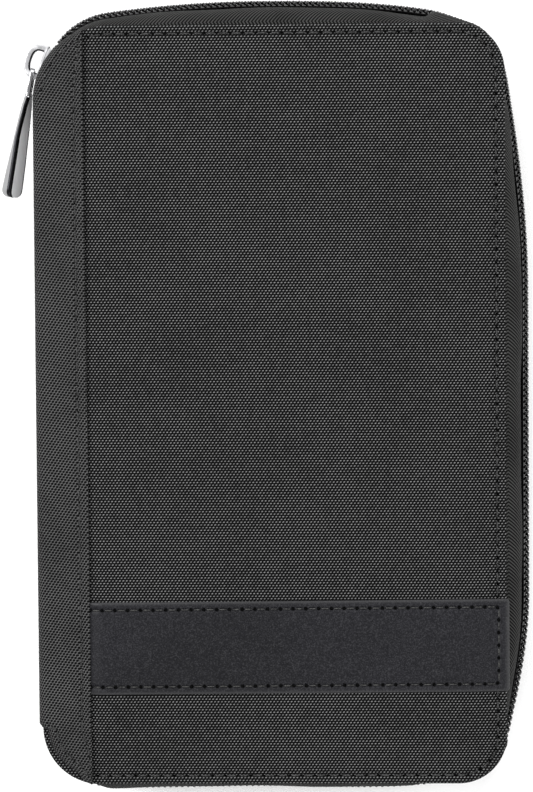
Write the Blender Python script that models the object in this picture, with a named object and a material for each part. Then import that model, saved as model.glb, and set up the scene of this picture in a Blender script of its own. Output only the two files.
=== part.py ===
"""Zip-around passport wallet: two padded covers joined by a folding spine and closed on three sides by a coil zip.

It lies on its back cover. X runs from the spine (-X) to the opening side, Y up the cover, and Z through the
thickness, from the back cover's outer face at Z = 0. The origin is the middle of that face.
"""

import math

import bmesh
import bpy
from mathutils import Vector

MM = 0.001

# Driving dimensions, in millimetres.
COVER_W = 122.6           # spine's outer face to the opening edge of a cover
COVER_H = 198.6
THICK = 25.0              # back cover's outer face to front cover's outer face
SPINE_RADIUS = 20.0       # cover corners beside the spine
OPEN_RADIUS = 14.5        # cover corners on the opening side
STRIP_W = 13.5            # spine fabric that wraps onto each cover
SPINE_LENGTH = 164.0      # the spine fabric stops short of the corners, where the zip begins

# Layers of a cover, as depth below its outer face.
SHELL = (0.0, 0.9)
BOARD = (1.2, 2.2)
LINING = (2.5, 3.0)
SLIP_SHEET = (3.6, 4.1)
GAP = 0.3

# Zip: the line where each tape's outer surface meets its coil.
MID = THICK / 2
ZIP_START_X = -57.5
ZIP_CORNER_R = 17.5
ZIP_CORNER = Vector((ZIP_START_X + ZIP_CORNER_R, 83.5))
TOP_CROWN = 103.5         # reach of the zip at the middle of the top
BOTTOM_CROWN = 101.2
ZIP_BULGE = 65.4          # reach of the zip at the middle of the long side
TAPE = 0.8
COIL_W = 2.4              # across the tape, each half
COIL_H = 2.1              # above the tape
SLIT = 0.7                # half the slit between the two halves, for the slider's post
UPRIGHT = 5.0             # height of the tape that stands upright beside each coil
END_TOP_DEG = 35.0        # the zip's top end belongs to the spine up to here
END_BOTTOM_DEG = 12.0
RIM_LEAD = 14.0           # a tape's sewn edge starts this much later round the corner

# Slider and pull, in the slider's own frame: T along the zip, N outwards, Z across.
SLIDER_DEG = 18.0         # where the closed slider stands on the corner arc
SLIDER_L = 9.6
SLIDER_W = 8.2
PLATE_IN = (-2.8, -1.9)
PLATE_OUT = (2.6, 3.4)
BRIDGE_TOP = 7.9
BRIDGE_W = 2.0
BRIDGE_STRAP = 1.1
PULL_PIVOT = (-2.4, 5.0)
PULL_LEAN_DEG = 10.6       # off the vertical, outwards
PULL_LENGTH = 34.0
PULL_TWIST_DEG = 38.0


def reset_scene():
    for obj in list(bpy.data.objects):
        bpy.data.objects.remove(obj)


def material(name, colour, roughness, metallic=0.0):
    found = bpy.data.materials.get(name)
    if found:
        return found
    made = bpy.data.materials.new(name)
    made.use_nodes = True
    shader = made.node_tree.nodes["Principled BSDF"]
    shader.inputs["Base Color"].default_value = (*colour, 1.0)
    shader.inputs["Roughness"].default_value = roughness
    shader.inputs["Metallic"].default_value = metallic
    return made


def fabric():
    return material("woven_fabric", (0.035, 0.035, 0.036), 0.85)


def tape_cloth():
    return material("zip_tape", (0.025, 0.025, 0.026), 0.8)


def leatherette():
    return material("leatherette", (0.02, 0.02, 0.023), 0.5)


def lining_cloth():
    return material("lining", (0.06, 0.06, 0.065), 0.75)


def board_plastic():
    return material("board", (0.25, 0.25, 0.26), 0.6)


def coil_nylon():
    return material("coil_nylon", (0.015, 0.015, 0.016), 0.3)


def clear_vinyl():
    return material("clear_vinyl", (0.8, 0.82, 0.84), 0.1)


def chrome():
    return material("chrome", (0.75, 0.75, 0.77), 0.12, 1.0)


def add_object(name, mesh, finish, smooth=False):
    obj = bpy.data.objects.new(name, mesh)
    bpy.context.scene.collection.objects.link(obj)
    mesh.materials.append(finish)
    if smooth:
        mesh.shade_smooth()
        mesh.set_sharp_from_angle(angle=math.radians(35))
    return obj


def mesh_of(name, vertices, faces):
    """A mesh from points in millimetres, with its faces turned outwards."""
    mesh = bpy.data.meshes.new(name)
    mesh.from_pydata([Vector(v) * MM for v in vertices], [], faces)
    bm = bmesh.new()
    bm.from_mesh(mesh)
    bmesh.ops.recalc_face_normals(bm, faces=bm.faces)
    bm.to_mesh(mesh)
    bm.free()
    return mesh


def plate(name, outline, low, high, finish):
    """A flat sheet: the outline, in X and Y, raised from low to high."""
    count = len(outline)
    vertices = [(x, y, z) for z in (low, high) for x, y in outline]
    sides = [(i, (i + 1) % count, count + (i + 1) % count, count + i) for i in range(count)]
    caps = [tuple(range(count))[::-1], tuple(range(count, 2 * count))]
    return add_object(name, mesh_of(name, vertices, sides + caps), finish)


def box(name, low, high, finish):
    outline = [(low[0], low[1]), (high[0], low[1]), (high[0], high[1]), (low[0], high[1])]
    return plate(name, outline, low[2], high[2], finish)


def rounded_outline(x0, x1, y0, y1, left_radius, right_radius, steps=8):
    """Anticlockwise outline of a rectangle whose left and right corners have their own radii."""
    corners = [
        (x1 - right_radius, y0 + right_radius, right_radius, -90),
        (x1 - right_radius, y1 - right_radius, right_radius, 0),
        (x0 + left_radius, y1 - left_radius, left_radius, 90),
        (x0 + left_radius, y0 + left_radius, left_radius, 180),
    ]
    points = []
    for cx, cy, radius, start in corners:
        for step in range(steps + 1):
            angle = math.radians(start + 90 * step / steps)
            points.append((cx + radius * math.cos(angle), cy + radius * math.sin(angle)))
    return points


def clipped(outline, seam, keep_right):
    """The part of a convex outline on one side of the line X = seam."""
    points = []
    for (ax, ay), (bx, by) in zip(outline, outline[1:] + outline[:1]):
        if (ax >= seam) == keep_right:
            points.append((ax, ay))
        if (ax >= seam) != (bx >= seam):
            share = (seam - ax) / (bx - ax)
            points.append((seam, ay + share * (by - ay)))
    return points


def cover_outline(inset=0.0):
    half_w, half_h = COVER_W / 2 - inset, COVER_H / 2 - inset
    return rounded_outline(-half_w, half_w, -half_h, half_h, SPINE_RADIUS - inset, OPEN_RADIUS - inset)


def heading_spline(knots, steps):
    """Points and outward normals along Bezier curves through knots (x, y, heading in degrees).

    Handles have the length that turns a quarter circle into a true arc. Outwards is left of the heading.
    """
    points, normals = [], []
    for index, ((ax, ay, ah), (bx, by, bh)) in enumerate(zip(knots, knots[1:])):
        start, end = Vector((ax, ay)), Vector((bx, by))
        turn = max(math.radians(abs(bh - ah)), 1e-4)
        handle = (end - start).length * 2 / 3 * math.tan(turn / 4) / math.sin(turn / 2)
        leave = Vector((math.cos(math.radians(ah)), math.sin(math.radians(ah)))) * handle
        arrive = Vector((math.cos(math.radians(bh)), math.sin(math.radians(bh)))) * handle
        control = (start, start + leave, end - arrive, end)
        count = steps[index]
        for step in range(count + (index == len(knots) - 2)):
            t = step / count
            weights = ((1 - t) ** 3, 3 * t * (1 - t) ** 2, 3 * t * t * (1 - t), t ** 3)
            slopes = (-3 * (1 - t) ** 2, 3 * (1 - t) ** 2 - 6 * t * (1 - t), 6 * t * (1 - t) - 3 * t * t, 3 * t * t)
            place = sum((c * w for c, w in zip(control, weights)), Vector((0, 0)))
            along = sum((c * w for c, w in zip(control, slopes)), Vector((0, 0))).normalized()
            points.append(place)
            normals.append(Vector((-along.y, along.x)))
    return points, normals


def arc_knot(centre, radius, degrees):
    """A knot on the corner arc beside the spine: 0 degrees faces -X and 90 degrees faces +Y."""
    angle = math.radians(degrees)
    return (centre.x - radius * math.cos(angle), centre.y + radius * math.sin(angle), 90 - degrees)


def mirrored(knots):
    """The same knots on the lower half, as a clockwise run that comes back to the spine."""
    return [(x, -y, -180 - heading) for x, y, heading in reversed(knots)]


TOP_ARC_END = 82.5        # the corner arcs meet the crowns here
BOTTOM_ARC_END = 89.4


def zip_knots(top_start, bottom_start):
    """Clockwise from the spine's top end to its bottom end, starting part-way round each corner arc."""
    upper = [
        arc_knot(ZIP_CORNER, ZIP_CORNER_R, top_start),
        arc_knot(ZIP_CORNER, ZIP_CORNER_R, TOP_ARC_END),
        (-2.0, TOP_CROWN, 0.0),
        (41.0, 101.3, -6.5),
        (61.3, 78.5, -81.0),
        (ZIP_BULGE, 30.0, -90.0),
    ]
    lower = [
        arc_knot(ZIP_CORNER, ZIP_CORNER_R, bottom_start),
        arc_knot(ZIP_CORNER, ZIP_CORNER_R, BOTTOM_ARC_END),
        (0.0, BOTTOM_CROWN, 0.0),
        (41.0, 99.4, -6.0),
        (62.2, 83.0, -77.0),
        (ZIP_BULGE, 50.0, -90.0),
    ]
    return upper + mirrored(lower)


def edge_knots(top_start, bottom_start, inset=1.2):
    """The same run along the cover's edge, where the tape is sewn in."""
    half_w, half_h = COVER_W / 2 - inset, COVER_H / 2 - inset
    corner = Vector((-COVER_W / 2 + SPINE_RADIUS, COVER_H / 2 - SPINE_RADIUS))
    radius = SPINE_RADIUS - inset
    bend = OPEN_RADIUS - inset

    def half(start, level):
        return [
            arc_knot(corner, radius, start),
            arc_knot(corner, radius, TOP_ARC_END),
            (0.0, half_h, 0.0),
            (half_w - bend, half_h, 0.0),
            (half_w, half_h - bend, -90.0),
            (half_w, level, -90.0),
        ]

    return half(top_start, 30.0) + mirrored(half(bottom_start, 50.0))


STEPS = (9, 5, 5, 9, 5, 3, 5, 9, 5, 5, 9)


def swept(name, rings, finish):
    """One closed body from equal rings of points, capped at both ends."""
    size = len(rings[0])
    vertices = [tuple(point) for ring in rings for point in ring]
    faces = []
    for row in range(len(rings) - 1):
        for i in range(size):
            j = (i + 1) % size
            faces.append((row * size + i, row * size + j, (row + 1) * size + j, (row + 1) * size + i))
    last = (len(rings) - 1) * size
    faces += [tuple(range(size))[::-1], tuple(last + i for i in range(size))]
    return add_object(name, mesh_of(name, vertices, faces), finish, smooth=True)


def zip_tape(name, front):
    """Tape from the cover's edge out to the coil: upright beside the coil, then curving in under the cover."""
    side = 1 if front else -1
    rim, rim_normals = heading_spline(edge_knots(END_TOP_DEG + RIM_LEAD, END_BOTTOM_DEG + RIM_LEAD), STEPS)
    line, line_normals = heading_spline(zip_knots(END_TOP_DEG + 1, END_BOTTOM_DEG + 1), STEPS)
    reach = MID - SHELL[1] - GAP - UPRIGHT
    section = [(SLIT, 1.0), (UPRIGHT, 1.0)]
    for share in (0.35, 0.7, 0.9, 1.0):
        section.append((UPRIGHT + reach * share, math.sqrt(1 - share * share)))
    rings = []
    for edge, edge_out, place, out in zip(rim, rim_normals, line, line_normals):
        outer, inner = [], []
        for height, share in section:
            spot = edge.lerp(place, share)
            spot_in = spot - edge_out.lerp(out, share).normalized() * TAPE
            outer.append((*spot, MID + side * height))
            inner.append((*spot_in, MID + side * height))
        rings.append(outer + inner[::-1])
    return swept(name, rings, tape_cloth())


def zip_coil(name, front):
    """Half of the coil, as the rounded bar that its turns fill, just outside the tape's edge."""
    side = 1 if front else -1
    line, normals = heading_spline(zip_knots(END_TOP_DEG + 2, END_BOTTOM_DEG + 2), STEPS)
    rise = 0.15 + COIL_H / 2
    across = SLIT + COIL_W / 2
    rings = []
    for place, out in zip(line, normals):
        ring = []
        for step in range(8):
            angle = math.radians(22.5 + 45 * step)
            spot = place + out * (rise + COIL_H / 2 * math.cos(angle) / math.cos(math.radians(22.5)))
            height = across + COIL_W / 2 * math.sin(angle) / math.cos(math.radians(22.5))
            ring.append((*spot, MID + side * height))
        rings.append(ring)
    return swept(name, rings, coil_nylon())


def zip_end(name, top, last_degrees):
    """Both tapes' ends, joined under the spine and slit towards the zip."""
    sign = 1 if top else -1
    tab = 7.0
    run = [(ZIP_START_X, ZIP_CORNER.y - tab, 90.0), (ZIP_START_X, ZIP_CORNER.y, 90.0)]
    run.append(arc_knot(ZIP_CORNER, ZIP_CORNER_R, last_degrees))
    line, normals = heading_spline(run, (1, 8))
    half = MID - LINING[1] - 0.9
    rings = []
    for place, out in zip(line, normals):
        inside = place - out * TAPE
        ring = [(place, MID - half), (place, MID + half), (inside, MID + half), (inside, MID - half)]
        rings.append([(spot.x, sign * spot.y, z) for spot, z in ring])
    end = swept(name, rings, tape_cloth())
    slit_low, slit_high = sorted((sign * (ZIP_CORNER.y - 3.5), sign * (ZIP_CORNER.y + 30)))
    cutter = box(name + "_slit", (-75, slit_low, MID - SLIT), (-30, slit_high, MID + SLIT), tape_cloth())
    cut(end, cutter, "DIFFERENCE")
    return end


def cut(obj, other, operation):
    """A Boolean on obj. The other object is only its tool."""
    other.hide_render = True
    other.display_type = "WIRE"
    boolean = obj.modifiers.new(operation.lower(), "BOOLEAN")
    boolean.operation = operation
    boolean.object = other


def build_cover(side, front):
    """The flat layers of one cover."""
    def levels(depths):
        return sorted((THICK - depth if front else depth) for depth in depths)

    seam = -COVER_W / 2 + STRIP_W
    whole = cover_outline()
    plate(side + "_panel", clipped(whole, seam + GAP, True), *levels(SHELL), fabric())
    plate(side + "_spine_strip", clipped(whole, seam, False), *levels(SHELL), fabric())
    plate(side + "_board", cover_outline(4.0), *levels(BOARD), board_plastic())
    plate(side + "_lining", cover_outline(4.4), *levels(LINING), lining_cloth())
    slip = rounded_outline(-50.0, 56.5, -93.0, 62.0, 3.0, 7.0, 4)
    plate(side + "_slip_pocket", slip, *levels(SLIP_SHEET), lining_cloth())


def build_spine():
    face = -COVER_W / 2
    low, high = SHELL[1] + GAP, THICK - SHELL[1] - GAP
    half = SPINE_LENGTH / 2
    box("spine_panel", (face, -half, low), (face + 0.9, half, high), fabric())
    board_low = LINING[1] + 0.5
    box("spine_board", (face + 1.2, -half + 4, board_low), (face + 2.2, half - 4, THICK - board_low), board_plastic())
    box("spine_lining", (face + 2.5, -half + 2, board_low), (face + 3.0, half - 2, THICK - board_low), lining_cloth())


BAND_Y = (-75.2, -50.9)
BAND = 0.8


def build_band():
    """Leatherette band across the front, from the spine fabric's edge to the opening edge."""
    left = -COVER_W / 2 + STRIP_W + GAP
    outline = rounded_outline(left, COVER_W / 2, *BAND_Y, 0.3, 0.6, 3)
    plate("accent_band", outline, THICK + 0.1, THICK + 0.1 + BAND, leatherette())


POCKET_X = (-40.0, 54.0)
PASSPORT_Y = (-88.0, 18.0)
PASSPORT_GAP = 4.6
POCKET_WALL = 1.0
POCKET_SHEET = 0.6
CARD_X = (-38.0, 52.0)
CARD_BOTTOM = -86.0
CARD_DEPTH = 54.0
CARD_STEP = 12.0
CARD_PITCH = 1.1
CARD_SHEET = 0.5
CARD_SLOTS = 4


def build_passport_pocket():
    """A tray open towards +Y and towards the back cover: a sheet on three low walls."""
    base = SLIP_SHEET[1] + GAP
    x0, x1 = POCKET_X
    y0, y1 = PASSPORT_Y
    top = base + PASSPORT_GAP + POCKET_SHEET
    tray = plate("passport_pocket", rounded_outline(x0, x1, y0, y1, 2.0, 2.0, 3), base, top, lining_cloth())
    low = (x0 + POCKET_WALL, y0 + POCKET_WALL, base - 1)
    high = (x1 - POCKET_WALL, y1 + 10, base + PASSPORT_GAP)
    cut(tray, box("passport_room", low, high, lining_cloth()), "DIFFERENCE")


def build_card_slots():
    """Stepped slots inside the front cover. Slot 1 is nearest the cover and stands tallest."""
    for index in range(CARD_SLOTS):
        high = THICK - SLIP_SHEET[1] - 0.4 - index * CARD_PITCH
        top = CARD_BOTTOM + CARD_DEPTH + CARD_STEP * (CARD_SLOTS - 1 - index)
        outline = rounded_outline(*CARD_X, CARD_BOTTOM, top, 1.5, 1.5, 3)
        plate(f"card_slot_{index + 1}", outline, high - CARD_SHEET, high, lining_cloth())


def build_id_window():
    high = THICK - SLIP_SHEET[1] - 0.4
    outline = rounded_outline(*CARD_X, 14.0, 58.0, 2.0, 2.0, 3)
    plate("id_window", outline, high - 0.4, high, clear_vinyl())


def slider_frame(t, n, z):
    """A point given along the zip, outwards and across, at the closed slider's place."""
    angle = math.radians(SLIDER_DEG)
    centre = ZIP_CORNER + ZIP_CORNER_R * Vector((-math.cos(angle), math.sin(angle)))
    along = Vector((math.sin(angle), math.cos(angle)))
    out = Vector((-math.cos(angle), math.sin(angle)))
    spot = centre + along * t + out * n
    return (spot.x, spot.y, MID + z)


def slider_block(name, profile, low, high):
    """A slab of the slider: a T and Z profile between two N levels, or a T and N profile across Z."""
    count = len(profile)
    vertices = [slider_frame(*point(level)) for level in (low, high) for point in profile]
    sides = [(i, (i + 1) % count, count + (i + 1) % count, count + i) for i in range(count)]
    caps = [tuple(range(count))[::-1], tuple(range(count, 2 * count))]
    return add_object(name, mesh_of(name, vertices, sides + caps), chrome())


def plate_profile():
    """Slider plate seen from outside: wide shoulders at the closing end, narrower behind."""
    half, wide, slim = SLIDER_L / 2, SLIDER_W / 2, SLIDER_W / 2 - 0.9
    corner = 1.3
    shape = [
        (-half + corner, -wide), (0.5, -wide), (half - corner, -slim), (half, -slim + corner),
        (half, slim - corner), (half - corner, slim), (0.5, wide), (-half + corner, wide),
        (-half, wide - corner), (-half, -wide + corner),
    ]
    return [lambda n, t=t, z=z: (t, n, z) for t, z in shape]


def bridge_profile():
    """The arch that holds the pull, as a T and N outline: outer line there, inner line back."""
    half, top, strap = 4.4, BRIDGE_TOP, BRIDGE_STRAP
    foot = PLATE_OUT[1] - 0.4
    outer, inner = [(-half, foot)], [(-half + strap, foot)]
    spring = top - 2.4
    for step in range(9):
        angle = math.radians(180 - 180 * step / 8)
        outer.append((half * math.cos(angle), spring + 2.4 * math.sin(angle)))
        inner.append(((half - strap) * math.cos(angle), spring + (2.4 - strap) * math.sin(angle)))
    outer.append((half, foot))
    inner.append((half - strap, foot))
    return [lambda z, t=t, n=n: (t, n, z) for t, n in outer + inner[::-1]]


def build_slider():
    body = slider_block("slider_body", plate_profile(), *PLATE_OUT)
    inner = slider_block("slider_inner_plate", plate_profile(), *PLATE_IN)
    post = [(-4.4, -0.4), (-2.8, -0.4), (-2.8, 0.4), (-4.4, 0.4)]
    post = [lambda n, t=t, z=z: (t, n, z) for t, z in post]
    post = slider_block("slider_post", post, PLATE_IN[1] - 0.4, PLATE_OUT[0] + 0.4)
    bridge = slider_block("slider_bridge", bridge_profile(), -BRIDGE_W / 2, BRIDGE_W / 2)
    for piece in (post, inner, bridge):
        cut(body, piece, "UNION")


PULL_BAR = 1.0            # wire across the bridge
PULL_ARM = (1.35, 2.55)   # each arm's reach across Z
PULL_BODY_START = 6.2
PULL_NECK = (2.6, 0.95)    # half width and half thickness beside the eye
PULL_TIP = (2.45, 1.3)


def pull_point(r, across, thick, turned=0.0):
    """A point of the pull: r down its length from the pivot, across and thick about its own axis, turned."""
    lean = math.radians(PULL_LEAN_DEG)
    down = Vector((-math.sin(lean), -math.cos(lean), 0))
    side = Vector((-math.cos(lean), math.sin(lean), 0))
    up = Vector((0, 0, 1))
    turn = math.radians(turned)
    wide = up * math.cos(turn) + side * math.sin(turn)
    deep = side * math.cos(turn) - up * math.sin(turn)
    pivot = Vector(slider_frame(*PULL_PIVOT, 0))
    return tuple(pivot + down * r + wide * across + deep * thick)


def pull_slab(name, lows, highs):
    """A box between two corners in the pull's frame."""
    corners = [(r, a, t) for r in (lows[0], highs[0]) for a in (lows[1], highs[1]) for t in (lows[2], highs[2])]
    faces = [(0, 1, 3, 2), (4, 6, 7, 5), (0, 4, 5, 1), (2, 3, 7, 6), (0, 2, 6, 4), (1, 5, 7, 3)]
    return add_object(name, mesh_of(name, [pull_point(*c) for c in corners], faces), chrome())


def build_pull():
    """A tapering bar that twists from square at the eye to its hanging angle, on a bar and two arms."""
    rings = []
    rows = 14
    for row in range(rows + 1):
        share = row / rows
        r = PULL_BODY_START + (PULL_LENGTH - PULL_BODY_START) * share
        end = min(1.0, (PULL_LENGTH - r) / 1.6)
        round_off = 0.55 + 0.45 * math.sqrt(1 - (1 - end) ** 2)
        wide = (PULL_NECK[0] + (PULL_TIP[0] - PULL_NECK[0]) * share) * round_off
        deep = (PULL_NECK[1] + (PULL_TIP[1] - PULL_NECK[1]) * share) * round_off
        bevel = 0.5
        shape = [
            (-wide, -deep + bevel), (-wide + bevel, -deep), (wide - bevel, -deep), (wide, -deep + bevel),
            (wide, deep - bevel), (wide - bevel, deep), (-wide + bevel, deep), (-wide, deep - bevel),
        ]
        turned = PULL_TWIST_DEG * min(1.0, share * 3)
        rings.append([pull_point(r, a, t, turned) for a, t in shape])
    body = swept("pull_tab", rings, chrome())
    half = PULL_BAR / 2
    ear = half - 0.05
    bar = pull_slab("pull_bar", (-half, -PULL_ARM[1] + 0.1, -half), (half, PULL_ARM[1] - 0.1, half))
    near = pull_slab("pull_arm_near", (-ear, PULL_ARM[0], -ear), (PULL_BODY_START + 1, PULL_ARM[1], ear))
    far = pull_slab("pull_arm_far", (-ear, -PULL_ARM[1], -ear), (PULL_BODY_START + 1, -PULL_ARM[0], ear))
    for piece in (bar, near, far):
        cut(body, piece, "UNION")


def main():
    reset_scene()
    build_cover("back", front=False)
    build_cover("front", front=True)
    build_spine()
    build_band()
    build_passport_pocket()
    build_card_slots()
    build_id_window()
    for side, front in (("back", False), ("front", True)):
        zip_tape(side + "_zip_tape", front)
        zip_coil(side + "_coil", front)
    zip_end("zip_end_top", True, END_TOP_DEG)
    zip_end("zip_end_bottom", False, END_BOTTOM_DEG)
    build_slider()
    build_pull()


main()
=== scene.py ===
import math

import bmesh
import bpy
import numpy as np
from mathutils import Matrix, Vector


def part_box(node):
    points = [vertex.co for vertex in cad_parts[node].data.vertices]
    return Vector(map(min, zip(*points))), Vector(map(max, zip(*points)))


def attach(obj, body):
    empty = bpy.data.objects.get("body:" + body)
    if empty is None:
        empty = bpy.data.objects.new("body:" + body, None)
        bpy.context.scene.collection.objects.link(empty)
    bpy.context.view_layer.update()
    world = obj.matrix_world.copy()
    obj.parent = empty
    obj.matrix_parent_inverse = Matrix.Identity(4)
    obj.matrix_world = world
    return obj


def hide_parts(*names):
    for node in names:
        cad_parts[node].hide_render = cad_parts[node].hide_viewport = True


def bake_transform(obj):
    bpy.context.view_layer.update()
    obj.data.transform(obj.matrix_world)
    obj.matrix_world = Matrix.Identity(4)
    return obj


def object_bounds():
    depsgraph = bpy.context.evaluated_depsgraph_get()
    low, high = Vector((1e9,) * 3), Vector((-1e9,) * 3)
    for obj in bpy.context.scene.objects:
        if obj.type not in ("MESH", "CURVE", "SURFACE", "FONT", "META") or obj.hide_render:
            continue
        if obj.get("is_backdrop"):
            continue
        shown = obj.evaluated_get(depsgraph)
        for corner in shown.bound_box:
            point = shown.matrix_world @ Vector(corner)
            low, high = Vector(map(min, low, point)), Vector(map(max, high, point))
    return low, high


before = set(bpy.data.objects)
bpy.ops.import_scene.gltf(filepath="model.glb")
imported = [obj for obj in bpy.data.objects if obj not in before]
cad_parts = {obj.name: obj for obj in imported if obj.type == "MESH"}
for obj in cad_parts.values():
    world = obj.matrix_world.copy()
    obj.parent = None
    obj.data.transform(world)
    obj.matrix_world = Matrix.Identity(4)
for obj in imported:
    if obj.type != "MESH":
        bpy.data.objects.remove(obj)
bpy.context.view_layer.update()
mm = 0.001

# Places read from the CAD, in millimetres.
panelLow, panelHigh = (np.array(corner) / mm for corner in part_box("back_panel"))
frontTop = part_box("front_panel")[1].z / mm
cover = {
    "halfW": panelHigh[0],
    "halfH": panelHigh[1],
    "spineRadius": 19.6,
    "footRadius": 15.2,      # the same corner at the foot, drawn in a little tighter
    "openRadius": 12.6,
    "thick": frontTop,
    "mid": frontTop / 2,
    "seamTop": -48.15,       # where the spine cloth's folded edge crosses the top and bottom
    "seamBottom": -47.45,
}


def newObject(name, points, faces, uv=None, smooth=True, material=None):
    # points in millimetres, faces as a list of equal-sized index arrays, uv in metres for each point
    mesh = bpy.data.meshes.new(name)
    loops = np.concatenate([np.asarray(f, np.int32).ravel() for f in faces])
    sizes = np.concatenate([np.full(len(f), np.asarray(f).shape[1], np.int32) for f in faces])
    starts = np.concatenate([[0], np.cumsum(sizes)[:-1]]).astype(np.int32)
    mesh.vertices.add(len(points))
    mesh.vertices.foreach_set("co", (np.asarray(points, float) * mm).astype(np.float32).ravel())
    mesh.loops.add(len(loops))
    mesh.loops.foreach_set("vertex_index", loops)
    mesh.polygons.add(len(sizes))
    mesh.polygons.foreach_set("loop_start", starts)
    mesh.polygons.foreach_set("loop_total", sizes)
    if uv is not None:
        layer = mesh.uv_layers.new(name="cloth")
        layer.data.foreach_set("uv", np.asarray(uv, np.float32)[loops].ravel())
    mesh.update(calc_edges=True)
    mesh.validate()
    if smooth:
        mesh.shade_smooth()
    obj = bpy.data.objects.new(name, mesh)
    bpy.context.scene.collection.objects.link(obj)
    if material:
        mesh.materials.append(material)
    return obj


def gridFaces(rows, cols):
    # quads between neighbouring rows of points, the last column joined to the first
    r = np.arange(rows - 1)[:, None]
    c = np.arange(cols)[None, :]
    d = (c + 1) % cols
    return np.stack([r * cols + c, r * cols + d, (r + 1) * cols + d, (r + 1) * cols + c], -1).reshape(-1, 4)


def outward(obj):
    # turns a closed mesh so that its faces point out, by the sign of its volume
    mesh = obj.data
    co = np.zeros(len(mesh.vertices) * 3, np.float32)
    mesh.vertices.foreach_get("co", co)
    co = co.reshape(-1, 3).astype(float)
    mesh.calc_loop_triangles()
    tri = np.zeros(len(mesh.loop_triangles) * 3, np.int32)
    mesh.loop_triangles.foreach_get("vertices", tri)
    a, b, c = co[tri.reshape(-1, 3)].transpose(1, 0, 2)
    if np.einsum("ij,ij->i", a, np.cross(b, c)).sum() < 0:
        mesh.flip_normals()
    return obj


def facesOut(obj):
    # turns every separate closed part of a mesh so that its faces point out
    work = bmesh.new()
    work.from_mesh(obj.data)
    bmesh.ops.recalc_face_normals(work, faces=work.faces)
    work.to_mesh(obj.data)
    work.free()
    return obj


def roundedLoops(x0, x1, y0, y1, radii, insets, step=1.0):
    # anticlockwise loops of a rectangle with four corner radii (bottom right, top right, top left,
    # bottom left), one loop for each inset; an inset past a radius keeps a tiny arc in a sharp corner
    insets = np.atleast_1d(np.asarray(insets, float))
    size = (x1 - x0, y1 - y0)
    corners = []
    for k, radius in enumerate(radii):
        n = max(6, int(radius * 1.57 / step))
        angle = np.radians(-90 + 90 * k + np.linspace(0, 90, n + 1))
        r = np.maximum(radius - insets, 0.05)[:, None]
        cx = (x1 - insets[:, None] - r) if k in (0, 1) else (x0 + insets[:, None] + r)
        cy = (y0 + insets[:, None] + r) if k in (0, 3) else (y1 - insets[:, None] - r)
        corners.append(np.stack([cx + r * np.cos(angle), cy + r * np.sin(angle)], -1))
    parts = []
    for k in range(4):
        a, b = corners[k], corners[(k + 1) % 4]
        n = max(2, int(size[1 if k in (0, 2) else 0] / step))
        t = np.linspace(0, 1, n + 1)[1:-1, None]
        side = a[:, -1][:, None] * (1 - t) + b[:, 0][:, None] * t
        parts += [a, side]
    return np.concatenate(parts, 1)


def insetOf(x, y):
    # distance inwards from the cover's outline, by the rounded rectangle's distance formula
    w, h = cover["halfW"], cover["halfH"]
    r = np.where(x < 0, np.where(y < 0, cover["footRadius"], cover["spineRadius"]), cover["openRadius"])
    qx, qy = np.abs(x) - (w - r), np.abs(y) - (h - r)
    outside = np.hypot(np.maximum(qx, 0), np.maximum(qy, 0))
    return r - outside - np.minimum(np.maximum(qx, qy), 0)


def smoothStep(t):
    t = np.clip(t, 0, 1)
    return t * t * (3 - 2 * t)


def ripple(x, y, seed, size, amount):
    # a few sine waves at fixed odd angles, for cloth that isn't quite flat
    rng = np.random.default_rng(seed)
    total = np.zeros_like(x)
    for _ in range(5):
        angle, phase, wave = rng.uniform(0, math.pi), rng.uniform(0, 6.28), size * rng.uniform(0.7, 1.6)
        total += np.sin((x * math.cos(angle) + y * math.sin(angle)) / wave * 6.283 + phase)
    return total / 5 * amount


def seamX(y):
    share = (np.asarray(y) / cover["halfH"] + 1) / 2
    return cover["seamBottom"] + (cover["seamTop"] - cover["seamBottom"]) * share


def calc(tree, how, *values, clamp=False):
    node = tree.nodes.new("ShaderNodeMath")
    node.operation = how
    node.use_clamp = clamp
    for k, value in enumerate(values):
        if isinstance(value, (int, float)):
            node.inputs[k].default_value = value
        else:
            tree.links.new(value, node.inputs[k])
    return node.outputs[0]


def ease(tree, value, low, high, to0=0.0, to1=1.0):
    node = tree.nodes.new("ShaderNodeMapRange")
    node.interpolation_type = "SMOOTHSTEP"
    for k, v in zip(("From Min", "From Max", "To Min", "To Max"), (low, high, to0, to1)):
        node.inputs[k].default_value = v
    tree.links.new(value, node.inputs["Value"])
    return node.outputs[0]


def noise(tree, coords, scale, detail=2.0, rough=0.5):
    node = tree.nodes.new("ShaderNodeTexNoise")
    for key, value in (("Scale", scale), ("Detail", detail), ("Roughness", rough)):
        node.inputs[key].default_value = value
    tree.links.new(coords.outputs["Object"], node.inputs["Vector"])
    return node.outputs[0]


def mixColour(tree, share, a, b):
    node = tree.nodes.new("ShaderNodeMix")
    node.data_type = "RGBA"
    tree.links.new(share, node.inputs[0])
    for socket, value in ((node.inputs[6], a), (node.inputs[7], b)):
        if isinstance(value, tuple):
            socket.default_value = (*value, 1.0)
        else:
            tree.links.new(value, socket)
    return node.outputs[2]


def bump(tree, shader, *layers):
    # several heights, each (socket, distance in metres, strength), one after another
    normal = None
    for height, distance, strength in layers:
        node = tree.nodes.new("ShaderNodeBump")
        node.inputs["Distance"].default_value = distance
        node.inputs["Strength"].default_value = strength
        tree.links.new(height, node.inputs["Height"])
        if normal is not None:
            tree.links.new(normal, node.inputs["Normal"])
        normal = node.outputs[0]
    tree.links.new(normal, shader.inputs["Normal"])


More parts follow.
